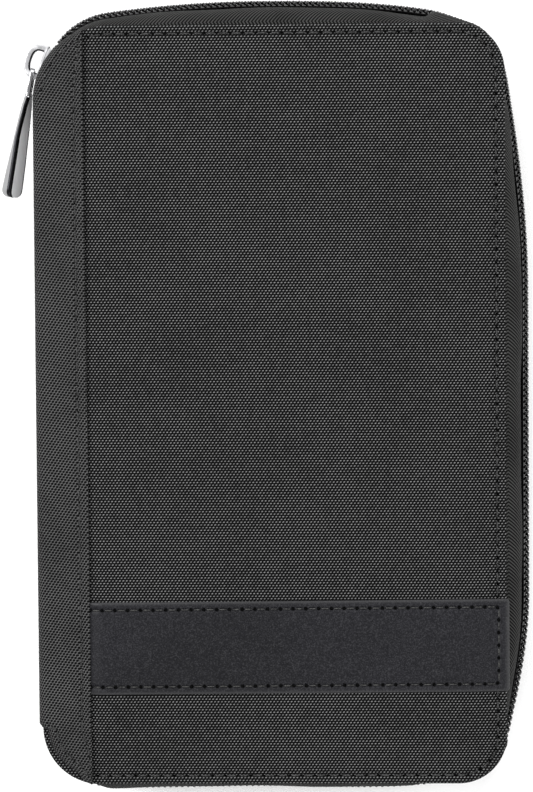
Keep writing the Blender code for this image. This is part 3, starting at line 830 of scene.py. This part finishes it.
def arcKnot(centre, radius, degrees):
    a = math.radians(degrees)
    return (centre[0] - radius * math.cos(a), centre[1] + radius * math.sin(a), 90 - degrees)


def mirroredRun(run):
    return [(x, -y, -180 - h) for x, y, h in reversed(run)]


def splineThrough(knots, step):
    # Bezier curves through points with headings, resampled to an even step; outwards is left of the heading
    pieces = []
    for (ax, ay, ah), (bx, by, bh) in zip(knots, knots[1:]):
        a, b = np.array([ax, ay]), np.array([bx, by])
        turn = max(math.radians(abs(bh - ah)), 1e-4)
        handle = np.linalg.norm(b - a) * 2 / 3 * math.tan(turn / 4) / math.sin(turn / 2)
        p1 = a + handle * np.array([math.cos(math.radians(ah)), math.sin(math.radians(ah))])
        p2 = b - handle * np.array([math.cos(math.radians(bh)), math.sin(math.radians(bh))])
        t = np.linspace(0, 1, 400)[:, None]
        pieces.append((1 - t) ** 3 * a + 3 * t * (1 - t) ** 2 * p1 + 3 * t * t * (1 - t) * p2 + t ** 3 * b)
    path = np.concatenate([pieces[0]] + [piece[1:] for piece in pieces[1:]])
    spots, along, at = resample(path, step)
    return spots, np.column_stack([-along[:, 1], along[:, 0]]), at


def zipLine(top, bottom, step):
    # the top and the foot as knots (x, y, heading), the foot's mirrored, joined down the open side
    shape = zipShape
    corner, foot = (zipCorner, shape["cornerRadius"]), (zipFoot, shape["footRadius"])
    upper = [arcKnot(*corner, top), arcKnot(*corner, shape["topArcEnd"]), (-2.0, shape["topCrown"], 0.0),
             (41.0, 101.0, -9.0), (51.9, 97.6, -18.0), (59.0, 89.0, -71.0), (61.2, 77.5, -81.0),
             (shape["bulge"], 30.0, -90.0)]
    lower = [arcKnot(*foot, bottom), arcKnot(*foot, shape["bottomArcEnd"]), (0.0, shape["bottomCrown"], 0.0),
             (41.0, 98.9, -7.0), (52.0, 96.6, -18.0), (58.9, 90.0, -65.0), (61.3, 81.0, -77.0),
             (shape["bulge"], 50.0, -90.0)]
    spots, normals, at = splineThrough(upper + mirroredRun(lower), step)
    return spots + normals * shape["proud"], normals, at


def rimFor(spots, normals, inset=1.25):
    # where the tape is sewn in: along each point's normal, back to the outline moved in by the inset
    low, high = np.full(len(spots), -6.0), np.full(len(spots), 14.0)
    for _ in range(40):
        middle = (low + high) / 2
        trial = spots - normals * middle[:, None]
        inside = insetOf(trial[:, 0], trial[:, 1]) > inset
        high, low = np.where(inside, middle, high), np.where(inside, low, middle)
    return spots - normals * ((low + high) / 2)[:, None]


def zipTape(side):
    shape = zipShape
    spots, normals, at = zipLine(shape["endTop"], shape["endBottom"], 1.15)
    rim = rimFor(spots, normals)
    thick, mid = cover["thick"], cover["mid"]
    top = thick - 0.75
    heights = np.concatenate([[0.16, 0.5, 1.0, 2.0, 3.0, 4.0], [shape["upright"]]])
    share = np.ones(len(heights))
    reach = top - mid - shape["upright"]
    t = np.radians(np.linspace(0, 90, 16))[1:]
    heights = np.concatenate([heights, shape["upright"] + reach * np.sin(t)])
    share = np.concatenate([share, np.cos(t)])
    edge, centre = rim[:, None], spots[:, None]
    line = edge + (centre - edge) * share[None, :, None]
    wave = (np.sin(at / 9.1) * 0.16 + np.sin(at / 4.3 + 1.2) * 0.09 + np.sin(at / 21.0) * 0.14)[:, None]
    swell = wave * np.sin(np.clip(heights / (top - mid), 0, 1) * math.pi)[None]
    swell *= smoothStep(np.minimum(at, at[-1] - at) / 10)[:, None]
    # along the foot and round the two free corners the cloth bulges past the coil and hides it
    px, py = spots[:, 0], spots[:, 1]
    facing = np.abs(np.degrees(np.arctan2(normals[:, 1], normals[:, 0])))
    hug = shape["footHug"] * smoothStep((-py - 95) / 5) * smoothStep((px + 50) / 8) * smoothStep((46 - px) / 10)
    turning = (smoothStep((83 - facing) / 7) * smoothStep((facing - np.where(py > 0, 5.0, 11.0)) / 10)
               * smoothStep((px - 38) / 5))
    hug = np.maximum(hug, shape["cornerHug"] * turning)
    overCoil = smoothStep((heights - 0.6) / 3.2) * smoothStep((top - mid - heights) / 6.5)
    swell = swell + hug[:, None] * overCoil[None]
    out = np.broadcast_to(normals[:, None], line.shape)
    face = line + out * (swell[..., None] - 0.02)
    inside = face - out * shape["tape"]
    points = skinBothSides(face, inside, mid + heights)
    across = np.concatenate([[0], np.cumsum(np.hypot(np.diff(heights), np.diff(share) * 4))])
    both = np.concatenate([across, across[::-1]])
    uv = clothMap(at, both)
    if side == "back":
        points = flipToBack(points)
    obj = closedPiece(side + "ZipTape", points, side + "_cover", "tape", (side + "_zip_tape",), uv)
    obj.data.set_sharp_from_angle(angle=math.radians(50))


def coilHalf(name, spots, normals, at, sign, body, replaces=(), phase=0.0):
    # a flattened helix of nylon wire: out and in with the sine of the turn, across with its cosine
    shape = zipShape
    turns = at[-1] / shape["coilPitch"]
    steps = int(turns * 14)
    s = np.linspace(0.3, at[-1] - 0.3, steps)
    turn = s / shape["coilPitch"] * 2 * math.pi + phase
    px = np.stack([np.interp(s, at, spots[:, k]) for k in (0, 1)], -1)
    nx = np.stack([np.interp(s, at, normals[:, k]) for k in (0, 1)], -1)
    nx /= np.linalg.norm(nx, axis=1, keepdims=True)
    lift = shape["coilOut"] + shape["coilHigh"] * np.sin(turn)
    side = sign * (shape["coilApart"] - shape["coilWide"] * np.cos(turn))
    centre = np.column_stack([px + nx * lift[:, None], cover["mid"] + side])
    along = np.gradient(centre, axis=0)
    along /= np.linalg.norm(along, axis=1, keepdims=True)
    ref = np.column_stack([nx * np.sin(turn)[:, None], -sign * np.cos(turn)])
    u = np.cross(along, ref)
    u /= np.linalg.norm(u, axis=1, keepdims=True)
    v = np.cross(u, along)
    a = np.arange(6) / 6 * 2 * math.pi
    r = shape["wire"] / 2
    points = centre[:, None] + r * (u[:, None] * np.cos(a)[None, :, None] + v[:, None] * np.sin(a)[None, :, None])
    closedPiece(name, points, body, "coil", replaces)


def coilCore(name, spots, normals, sign, body):
    # the filler cord and its sewing line that run inside each half of the coil
    shape = zipShape
    a = np.arange(8) / 8 * 2 * math.pi
    lift = 0.5 + 0.62 * np.cos(a)
    side = cover["mid"] + sign * (shape["coilApart"] + 0.3 + 0.7 * np.sin(a))
    xy = spots[:, None] + normals[:, None] * lift[None, :, None]
    points = np.concatenate([xy, np.broadcast_to(side, xy.shape[:2])[..., None]], -1)
    closedPiece(name, points, body, "coil")


def closedCoil():
    shape = zipShape
    spots, normals, at = zipLine(shape["endTop"] + 0.5, shape["endBottom"] + 0.5, 1.0)
    for side, sign, phase in (("front", 1, 0.0), ("back", -1, math.pi)):
        coilHalf(side + "Coil", spots, normals, at, sign, side + "_cover", (side + "_coil",), phase)
        coilCore(side + "CoilCord", spots[::2], normals[::2], sign, side + "_cover")


def zipEnds():
    # the tape and coil that cross the spine's ends: they stay with the spine when the covers open
    shape = zipShape
    for name, sign, last in (("zipEndTop", 1, shape["endTop"] - 0.8),
                             ("zipEndBottom", -1, shape["endBottom"] - 0.8)):
        if sign > 0:
            knots = [(shape["startX"], shape["cornerY"] - 8.0, 90.0), (shape["startX"], shape["cornerY"], 90.0),
                     arcKnot(zipCorner, shape["cornerRadius"], last)]
        else:
            knots = [(shape["startX"], 75.5, 90.0), (shape["startX"] - 0.3, 80.5, 98.0),
                     arcKnot(zipFoot, shape["footRadius"], 7.0), arcKnot(zipFoot, shape["footRadius"], last)]
        spots, normals, at = splineThrough(knots, 0.8)
        spots = spots + normals * shape["proud"]
        spots, normals = spots * [1, sign], normals * [1, sign]
        for half, up in (("Front", 1), ("Back", -1)):
            h = np.array([0.16, 1.0, 2.5, 4.5, 6.5, 8.4, 9.2])
            out = np.broadcast_to(normals[:, None], (len(spots), len(h), 2))
            face = np.repeat(spots[:, None], len(h), 1) - out * 0.02
            inside = face - out * shape["tape"]
            ring = skinBothSides(face, inside, cover["mid"] + up * h)
            across = np.concatenate([h, h[::-1]])
            uv = clothMap(at, across)
            node = "zip_end_top" if sign > 0 else "zip_end_bottom"
            closedPiece(name + half, ring, "spine", "tape", (node,) if up > 0 else (), uv)
            coilHalf(name + "Coil" + half, spots, normals, at, up, "spine", (), 0.0 if up > 0 else math.pi)


for side in ("front", "back"):
    zipTape(side)
closedCoil()
zipEnds()
print("zip made")


slider = {
    "degrees": 18.0, "length": 9.6, "wide": 4.1, "slim": 3.2, "outer": (2.5, 3.35), "inner": (-2.7, -1.8),
    "bridgeTop": 7.9, "bridgeHalf": 4.6, "strap": 1.7, "bridgeWide": 2.6,
}


def sliderPlace(points):
    # along the zip, outwards and across, to the closed slider's place on the corner
    a = math.radians(slider["degrees"])
    centre = zipCorner + zipShape["cornerRadius"] * np.array([-math.cos(a), math.sin(a)])
    along, out = np.array([math.sin(a), math.cos(a)]), np.array([-math.cos(a), math.sin(a)])
    points = np.asarray(points, float)
    xy = centre + points[..., 0:1] * along + points[..., 1:2] * out
    return np.concatenate([xy, cover["mid"] + points[..., 2:3]], -1)


def sliderPlan(inset, count=72):
    # seen from outside: wide shoulders at the closing end, drawn in behind, corners rounded as a superellipse
    a = np.arange(count) / count * 2 * math.pi
    power = 0.55
    t = np.sign(np.cos(a)) * np.abs(np.cos(a)) ** power * (slider["length"] / 2 - inset)
    share = smoothStep((t + 1.0) / 5.0)
    half = slider["wide"] * (1 - share) + slider["slim"] * share - inset
    z = np.sign(np.sin(a)) * np.abs(np.sin(a)) ** power * half
    return t, z


def sliderPlate(name, low, high, dome, replaces=()):
    rows = []
    for inset, level in ((3.0, low), (0.6, low), (0.18, low + 0.04), (0.0, low + 0.2), (0.0, high - 0.28),
                         (0.1, high - 0.1), (0.32, high), (0.8, high + dome * 0.5), (1.8, high + dome),
                         (3.1, high + dome)):
        t, z = sliderPlan(inset)
        rows.append(np.column_stack([t, np.full_like(t, level), z]))
    closedPiece(name, sliderPlace(np.stack(rows)), "slider", "cast", replaces)


def carriedSection(name, centre, sideways, normal, half, rounding, body, material, corners=5):
    # a rounded-rectangle section carried along a path; half is its half width and half depth, which may
    # change along the path
    n = len(centre)
    halfWide, halfDeep = (np.broadcast_to(size, n) for size in half)
    r = np.minimum(rounding, np.minimum(halfWide, halfDeep) * 0.98)
    a = np.linspace(0, math.pi / 2, corners)
    ring = []
    for k, (sx, sy) in enumerate(((1, 1), (-1, 1), (-1, -1), (1, -1))):
        turn = a + k * math.pi / 2
        px = sx * (halfWide - r)[:, None] + r[:, None] * np.cos(turn)
        py = sy * (halfDeep - r)[:, None] + r[:, None] * np.sin(turn)
        ring.append(np.stack([px, py], -1))
    ring = np.concatenate(ring, 1)
    points = centre[:, None] + ring[..., 0:1] * sideways[:, None] + ring[..., 1:2] * normal[:, None]
    return closedPiece(name, points, body, material)


def shadeColumns(obj, rows, around, choose):
    # a second material for some of the strips that run along a carried section, used here to paint shade and light onto
    # one metal
    column = np.arange((rows - 1) * around) % around
    slots = np.zeros(len(obj.data.polygons), np.int32)
    slots[:len(column)] = choose(column)
    obj.data.polygons.foreach_set("material_index", slots)


def sliderBody():
    shape = slider
    sliderPlate("sliderPlate", *shape["outer"], 0.25, ("slider_body",))
    sliderPlate("sliderUnderPlate", *shape["inner"], 0.0)
    # the arch: up from the closing end, over and down, as a strap with rounded edges
    half, top = shape["bridgeHalf"] - shape["strap"] / 2, shape["bridgeTop"] - shape["strap"] / 2
    base = shape["outer"][1] - 0.25
    rise = 2.6
    a = np.linspace(math.pi, 0, 29)
    arch = np.column_stack([half * np.sign(np.cos(a)) * np.abs(np.cos(a)) ** 0.8,
                            top - rise + rise * np.sin(a) ** 0.85])
    legs = np.linspace(base, top - rise, 7)[:-1]
    line = np.concatenate([np.column_stack([np.full(6, -half), legs]), arch,
                           np.column_stack([np.full(6, half), legs[::-1]])])
    along = np.gradient(line, axis=0)
    along /= np.linalg.norm(along, axis=1, keepdims=True)
    zero = np.zeros(len(line))
    centre = sliderPlace(np.column_stack([line, zero]))
    out = sliderPlace(np.column_stack([-along[:, 1], along[:, 0], zero])) - sliderPlace(np.zeros((1, 3)))
    across = np.tile([0.0, 0.0, 1.0], (len(line), 1))
    flare = 1 + 0.25 * smoothStep((np.abs(line[:, 0]) - 2.6) / 1.5)
    arched = carriedSection("sliderBridge", centre, across, out, (shape["bridgeWide"] / 2 * flare, shape["strap"] / 2),
                            0.42, "slider", "cast")
    arched.data.materials.append(cloth["paintedShade"])          # painted shade: the arch's inner side gets a dark copy of the metal
    shadeColumns(arched, len(line), 20, lambda column: (column >= 10) & (column <= 18))
    # the post between the plates, and the lips that keep the coil in
    t = np.linspace(-4.3, -2.6, 9)
    width = 0.42 * np.sin(np.linspace(0.35, math.pi - 0.35, 9))
    ring = np.concatenate([np.column_stack([t, width]), np.column_stack([t, -width])[::-1]])
    levels = np.linspace(shape["inner"][1] - 0.3, shape["outer"][0] + 0.3, 4)
    post = np.stack([np.column_stack([ring[:, 0], np.full(len(ring), level), ring[:, 1]]) for level in levels])
    closedPiece("sliderPost", sliderPlace(post), "slider", "chrome")
    for sign in (1, -1):
        t = np.linspace(-4.2, 4.2, 25)
        share = smoothStep((t + 1.0) / 5.0)
        side = sign * (shape["wide"] * (1 - share) + shape["slim"] * share - 0.34)
        line = np.column_stack([t, np.full_like(t, 2.0), side])
        centre = sliderPlace(line)
        a = math.radians(shape["degrees"])
        out = np.tile([-math.cos(a), math.sin(a), 0.0], (len(t), 1))
        across = np.tile([0.0, 0.0, 1.0], (len(t), 1))
        deep = 0.75 * np.sin(np.linspace(0.25, math.pi - 0.25, 25)) ** 0.4
        name = "sliderLipFront" if sign > 0 else "sliderLipBack"
        carriedSection(name, centre, across, out, (0.30, deep), 0.22, "slider", "cast")


pull = {
    "pivot": (-2.4, 5.0), "lean": 10.6, "length": 34.0, "neck": 6.4, "twist": 38.0,
    "wideNeck": 2.1, "wideTip": 2.8, "deepNeck": 0.8, "deepTip": 1.7, "eyeWide": 2.55, "wire": 0.5,
}


def pullAxes():
    lean = math.radians(pull["lean"])
    down = np.array([-math.sin(lean), -math.cos(lean), 0])
    side = np.array([-math.cos(lean), math.sin(lean), 0])
    return sliderPlace(np.array([[*pull["pivot"], 0.0]]))[0], down, side


def pullTab():
    shape = pull
    pivot, down, side = pullAxes()
    up = np.array([0, 0, 1.0])
    share = np.concatenate([np.linspace(0, 0.94, 44), 0.94 + 0.06 * np.sin(np.linspace(0, math.pi / 2, 12))[1:]])
    r = shape["neck"] + (shape["length"] - shape["neck"]) * share
    turn = np.radians(shape["twist"]) * (0.45 + 0.55 * smoothStep(share * 2.2))
    wide = shape["wideNeck"] + (shape["wideTip"] - shape["wideNeck"]) * smoothStep(share) ** 0.9
    waist = 1 - 0.16 * np.exp(-((share - 0.38) / 0.2) ** 2)
    deep = shape["deepNeck"] + (shape["deepTip"] - shape["deepNeck"]) * share ** 1.3
    tip = np.clip((shape["length"] - r) / 2.1, 0, 1)
    cap = 0.30 + 0.70 * np.sqrt(1 - (1 - tip) ** 2)
    neck = 0.62 + 0.38 * smoothStep((r - shape["neck"]) / 4.0)
    sideways = up[None] * np.cos(turn)[:, None] + side[None] * np.sin(turn)[:, None]
    normal = side[None] * np.cos(turn)[:, None] - up[None] * np.sin(turn)[:, None]
    centre = pivot + down * r[:, None]
    obj = carriedSection("pullTab", centre, sideways, normal, (wide * cap * neck, deep * waist * (0.45 + 0.55 * cap)),
                         0.95, "pull", "chrome", corners=6)
    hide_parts("pull_tab")
    # painted light and shade on one metal: a light copy for the broad face as a painted reflection, a dark copy for the
    # strip beside it as a painted dark reflection, then a grey copy for the rounded edge
    for paintedCopy in ("paintedLight", "paintedShade", "edge"):
        obj.data.materials.append(cloth[paintedCopy])
    shadeColumns(obj, len(share), 24, lambda column: np.select(
        [column == 17, (column == 11) | ((column >= 18) & (column < 23)), (column <= 5) | (column == 23)],
        [1, 2, 3], 0))
    # the eye: one wire loop from the tab round the bridge
    half, w = shape["eyeWide"] - shape["wire"], shape["wire"]
    bend = 1.0
    corner = np.radians(np.linspace(90, 180, 9))
    arm, bent = np.linspace(shape["neck"] + 0.9, bend, 8), bend + bend * np.cos(corner)
    xs = [arm, bent, np.full(7, 0.0), bent[::-1], arm[::-1]]
    reach = half - 0.35 * smoothStep((arm - 3) / 4)
    zs = [reach, half - bend + bend * np.sin(corner), np.linspace(half - bend, -(half - bend), 9)[1:-1],
          -(half - bend + bend * np.sin(corner))[::-1], -reach[::-1]]
    line = np.column_stack([np.concatenate(xs), np.concatenate(zs)])
    line = resample(line, 0.45)[0]
    along = np.gradient(line, axis=0)
    along /= np.linalg.norm(along, axis=1, keepdims=True)
    centre = pivot + down * line[:, :1] + up * line[:, 1:]
    across = down * along[:, 1:] - up * along[:, :1]
    deepSide = np.tile(side, (len(line), 1))
    carriedSection("pullEye", centre, across, deepSide, (w, w * 1.15), 0.3, "pull", "chrome")


sliderBody()
pullTab()
print("slider and pull made")


inside = {
    "hem": 1.6,              # from a pocket's edge to its stitch line
    "pocket": 0.5,
    "lining": 0.6,
}


def clothSheet(name, outline, z, thick, body, seed, bulge, facing, replaces=(), material="lining"):
    # a thin sheet with soft edges: facing 1 looks towards +Z and -1 towards -Z
    x0, x1, y0, y1, radii = outline
    insets = np.array([20, 4, 1.0, 0.25, 0.06, 0.0, 0.0, 0.06, 0.2, 0.5, 0.9, 1.3, 1.6, 1.9, 2.3, 3.0, 4.5, 7, 11,
                       16, 20.0])
    insets = np.minimum(insets, min(x1 - x0, y1 - y0) / 2 - 0.3)
    base = np.array([0, 0, 0, 0, 0.06, 0.2, 0.5, 0.8, 0.94, 1.0] + [1.0] * 11) * thick
    loops = roundedLoops(x0, x1, y0, y1, radii, insets, 1.4)
    x, y = loops[..., 0], loops[..., 1]
    edge = np.minimum(np.minimum(x - x0, x1 - x), np.minimum(y - y0, y1 - y))
    soft = ripple(x, y, seed, 30.0, bulge) * smoothStep(edge / 8)
    groove = -0.12 * np.exp(-((edge - inside["hem"]) / 0.45) ** 2)
    onTop = (np.arange(len(insets)) >= 7)[:, None]
    h = base[:, None] + soft + onTop * groove
    points = np.stack([x, y, z + facing * h], -1)
    closedPiece(name, points, body, material, replaces, points[..., :2])


def openLoop(outline, inset, step):
    # round three sides of a pocket, from the mouth's left end to its right end
    x0, x1, y0, y1, radii = outline
    loop = roundedLoops(x0, x1, y0, y1, radii, [inset], step)[0]
    loop = loop[loop[:, 1] < y1 - 0.5]
    start = int(np.argmax(loop[:, 1] * (loop[:, 0] < (x0 + x1) / 2)))
    return np.roll(loop, -start, axis=0)


def hemStitches(name, outline, z, body, facing, inset=None, sides="all"):
    x0, x1, y0, y1, radii = outline
    inset = inset or inside["hem"]
    loop = roundedLoops(x0, x1, y0, y1, radii, [inset], 0.8)[0]
    if sides == "top":
        loop = loop[loop[:, 1] > y1 - inset - 0.05]
        loop = loop[np.argsort(loop[:, 0])]
    elif sides == "mouth":
        loop = openLoop(outline, inset, 0.8)
    else:
        loop = np.concatenate([loop, loop[:1]])
    stitchRow(name, np.column_stack([loop, np.full(len(loop), z)]), (0, 0, facing), body)


def nodeOutline(node, radius):
    # a CAD piece's outline with one corner radius, and its lowest and highest level
    low, high = (np.array(corner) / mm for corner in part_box(node))
    return (low[0], high[0], low[1], high[1], (radius,) * 4), low[2], high[2]


def interior():
    w, h = cover["halfW"], cover["halfH"]
    s, o = cover["spineRadius"], cover["openRadius"]
    inset = 4.3
    covering = (-w + inset, w - inset, -h + inset, h - inset, (o - inset, o - inset, s - inset, s - inset))
    pocket = (-50.0, 56.5, -93.0, 62.0, (7.0, 7.0, 3.0, 3.0))
    for side, facing, seed in (("back", 1, 31), ("front", -1, 32)):
        body = side + "_cover"
        low, pocketZ = (depth if facing > 0 else cover["thick"] - depth for depth in (2.35, 3.5))
        clothSheet(side + "Lining", covering, low, inside["lining"], body, seed, 0.12, facing, (side + "_lining",))
        hemStitches(side + "LiningStitches", covering, low + facing * (inside["lining"] - 0.05), body, facing)
        clothSheet(side + "SlipPocket", pocket, pocketZ, inside["pocket"] + 0.1, body, seed + 2, 0.14, facing,
                   (side + "_slip_pocket",))
        pocketTop = pocketZ + facing * (inside["pocket"] + 0.05)
        hemStitches(side + "SlipPocketHem", pocket, pocketTop, body, facing, 2.0, "top")
        hemStitches(side + "SlipPocketStitches", pocket, pocketTop, body, facing, None, "mouth")
    for k in range(4):
        node = f"card_slot_{k + 1}"
        outline, low, high = nodeOutline(node, 1.5)
        clothSheet(f"cardSlot{k + 1}", outline, high - 0.02, 0.5, "front_cover", 40 + k, 0.06, -1, (node,))
        hemStitches(f"cardSlotHem{k + 1}", outline, low, "front_cover", -1, 1.5, "top")
    outline, low, high = nodeOutline("id_window", 2.0)
    clothSheet("idWindow", outline, high, 0.3, "front_cover", 50, 0.1, -1, ("id_window",), "vinyl")
    windowBinding(outline, low - 0.1)
    outline, low, high = nodeOutline("passport_pocket", 2.0)
    clothSheet("passportPocket", outline, high - 0.65, 0.65, "back_cover", 51, 0.2, 1)
    hemStitches("passportPocketHem", outline, high - 0.02, "back_cover", 1, 2.0, "top")
    hemStitches("passportPocketStitches", outline, high - 0.02, "back_cover", 1, 1.6, "mouth")
    passportGusset(outline, low, high - 0.6)
    spineInside()


def windowBinding(outline, z):
    # folded ribbon round the window: a flat band with a hole, as one ring
    x0, x1, y0, y1, radii = outline
    loops = roundedLoops(x0, x1, y0, y1, radii, [-0.4, -0.4, -0.3, 0.0, 3.0, 3.3, 3.3, 3.0], 1.2)
    level = np.array([0.5, 0.1, 0.0, -0.06, -0.06, 0.04, 0.5, 0.55])
    points = np.concatenate([loops, np.broadcast_to(z + level[:, None], loops.shape[:2])[..., None]], -1)
    n, m = points.shape[:2]
    k = np.arange(m)
    joined = np.stack([(n - 1) * m + k, (n - 1) * m + (k + 1) % m, (k + 1) % m, k], -1)
    flat = points.reshape(-1, 3)
    obj = newObject("windowBinding", flat, [gridFaces(n, m), joined], flat[:, :2] * mm, material=cloth["binding"])
    outward(obj)
    finishPiece(obj, "front_cover")
    loop = roundedLoops(x0, x1, y0, y1, radii, [1.5], 0.8)[0]
    path = np.column_stack([np.concatenate([loop, loop[:1]]), np.full(len(loop) + 1, z - 0.08)])
    stitchRow("windowStitches", path, (0, 0, -1), "front_cover")


def passportGusset(outline, low, high):
    # a soft folded wall along three sides of the pocket, bowed a little outwards
    x0, x1, y0, y1, _ = outline
    path, along, at = resample(openLoop(outline, 0.5, 1.0), 1.2)
    out = np.column_stack([along[:, 1], -along[:, 0]])
    middle = np.array([(x0 + x1) / 2, (y0 + y1) / 2])
    if np.einsum("ij,ij->i", path - middle, out).mean() < 0:
        out = -out
    t = np.linspace(0, 1, 9)
    bow = -0.35 * np.sin(t * math.pi)
    face = path[:, None] + out[:, None] * bow[None, :, None]
    ring = skinBothSides(face, face - out[:, None] * 0.4, low + (high - low) * t)
    across = np.concatenate([t, t[::-1]]) * (high - low)
    uv = clothMap(at, across)
    closedPiece("passportGusset", ring, "back_cover", "lining", ("passport_pocket",), uv)


def spineInside():
    # the spine's inner cloth: a sheet from cover to cover with a raised rib at each side
    low, high = (np.array(c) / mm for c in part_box("spine_lining"))
    y = np.linspace(low[1], high[1], 130)
    z = np.linspace(low[2], high[2], 23)
    yy, zz = np.meshgrid(y, z, indexing="ij")
    rib = 0.25 * np.exp(-((zz - low[2] - 1.5) / 0.5) ** 2) + 0.25 * np.exp(-((high[2] - 1.5 - zz) / 0.5) ** 2)
    soft = ripple(yy, zz * 2, 61, 22.0, 0.1)
    face = high[0] + 0.05 + rib + soft * 0.5
    back = np.full_like(face, low[0])
    ring = np.concatenate([np.stack([face, yy, zz], -1), np.stack([back, yy, zz], -1)[:, ::-1]], 1)
    closedPiece("spineLining", ring, "spine", "lining", ("spine_lining",), ring[..., [2, 1]])


interior()
for node in ("back_board", "front_board", "spine_board"):
    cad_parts[node].data.materials.clear()
    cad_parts[node].data.materials.append(cloth["board"])
print("inside made")


view = {
    "tiltUp": 3.6, "tiltRight": 2.0, "roll": -0.435, "scale": 0.2638, "shiftX": 5.4, "shiftY": 7.3,
    "distance": 1000.0, "width": 533, "height": 792,
}


def placeCamera():
    a, b, roll = (math.radians(view[key]) for key in ("tiltUp", "tiltRight", "roll"))
    toCamera = Vector((math.sin(b) * math.cos(a), math.sin(a), math.cos(a) * math.cos(b)))
    right = (-toCamera).cross(Vector((0, 1, 0))).normalized()
    up = right.cross(-toCamera)
    right, up = right * math.cos(roll) + up * math.sin(roll), up * math.cos(roll) - right * math.sin(roll)
    target = Vector((0, 0, 12.5)) - right * view["shiftX"] * view["scale"] + up * view["shiftY"] * view["scale"]
    camera = bpy.data.cameras.new("camera")
    obj = bpy.data.objects.new("camera", camera)
    bpy.context.scene.collection.objects.link(obj)
    turn = Matrix((right, up, toCamera)).transposed().to_4x4()
    obj.matrix_world = Matrix.Translation((target + toCamera * view["distance"]) * mm) @ turn
    camera.sensor_fit = "VERTICAL"
    camera.sensor_height = 36.0
    camera.lens = 36.0 * view["distance"] / (view["height"] * view["scale"])
    camera.clip_start, camera.clip_end = 0.05, 20.0
    bpy.context.scene.camera = obj


light = {"key": 15.0, "fill": 9.0, "head": 9.0, "foot": 6.0, "world": 0.42}


def areaLight(name, spot, size, power, aim=(0, 0, 0)):
    lamp = bpy.data.lights.new(name, "AREA")
    lamp.shape, lamp.size, lamp.size_y, lamp.energy = "RECTANGLE", size[0], size[1], power
    obj = bpy.data.objects.new(name, lamp)
    bpy.context.scene.collection.objects.link(obj)
    obj.location = spot
    obj.rotation_euler = (Vector(aim) - Vector(spot)).to_track_quat("-Z", "Y").to_euler()


def studio():
    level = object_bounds()[0][2] / mm - 0.02          # the floor touches the lowest cloth
    corners = np.array([(x, y, level) for x, y in ((-3000, -3000), (3000, -3000), (3000, 3000), (-3000, 3000))])
    paper = startMaterial("paleFloor", Base_Color=(0.97, 0.97, 0.97), Roughness=0.9)[0]
    floor = newObject("floor", corners, [np.array([[0, 1, 2, 3]])], smooth=False, material=paper)
    floor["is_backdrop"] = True
    world = bpy.data.worlds.new("studio")
    bpy.context.scene.world = world
    world.use_nodes = True
    background = world.node_tree.nodes["Background"]
    background.inputs[0].default_value = (1, 1, 1, 1)
    background.inputs[1].default_value = light["world"]
    areaLight("keyLight", (-0.85, 0.35, 0.75), (0.6, 0.9), light["key"])
    areaLight("fillLight", (0.9, 0.0, 0.75), (0.6, 0.9), light["fill"])
    areaLight("headLight", (0.05, 1.0, 0.7), (0.9, 0.5), light["head"])
    areaLight("footLight", (0.0, -1.0, 0.7), (0.9, 0.5), light["foot"])
    bpy.context.scene.view_settings.view_transform = "Standard"


placeCamera()
studio()
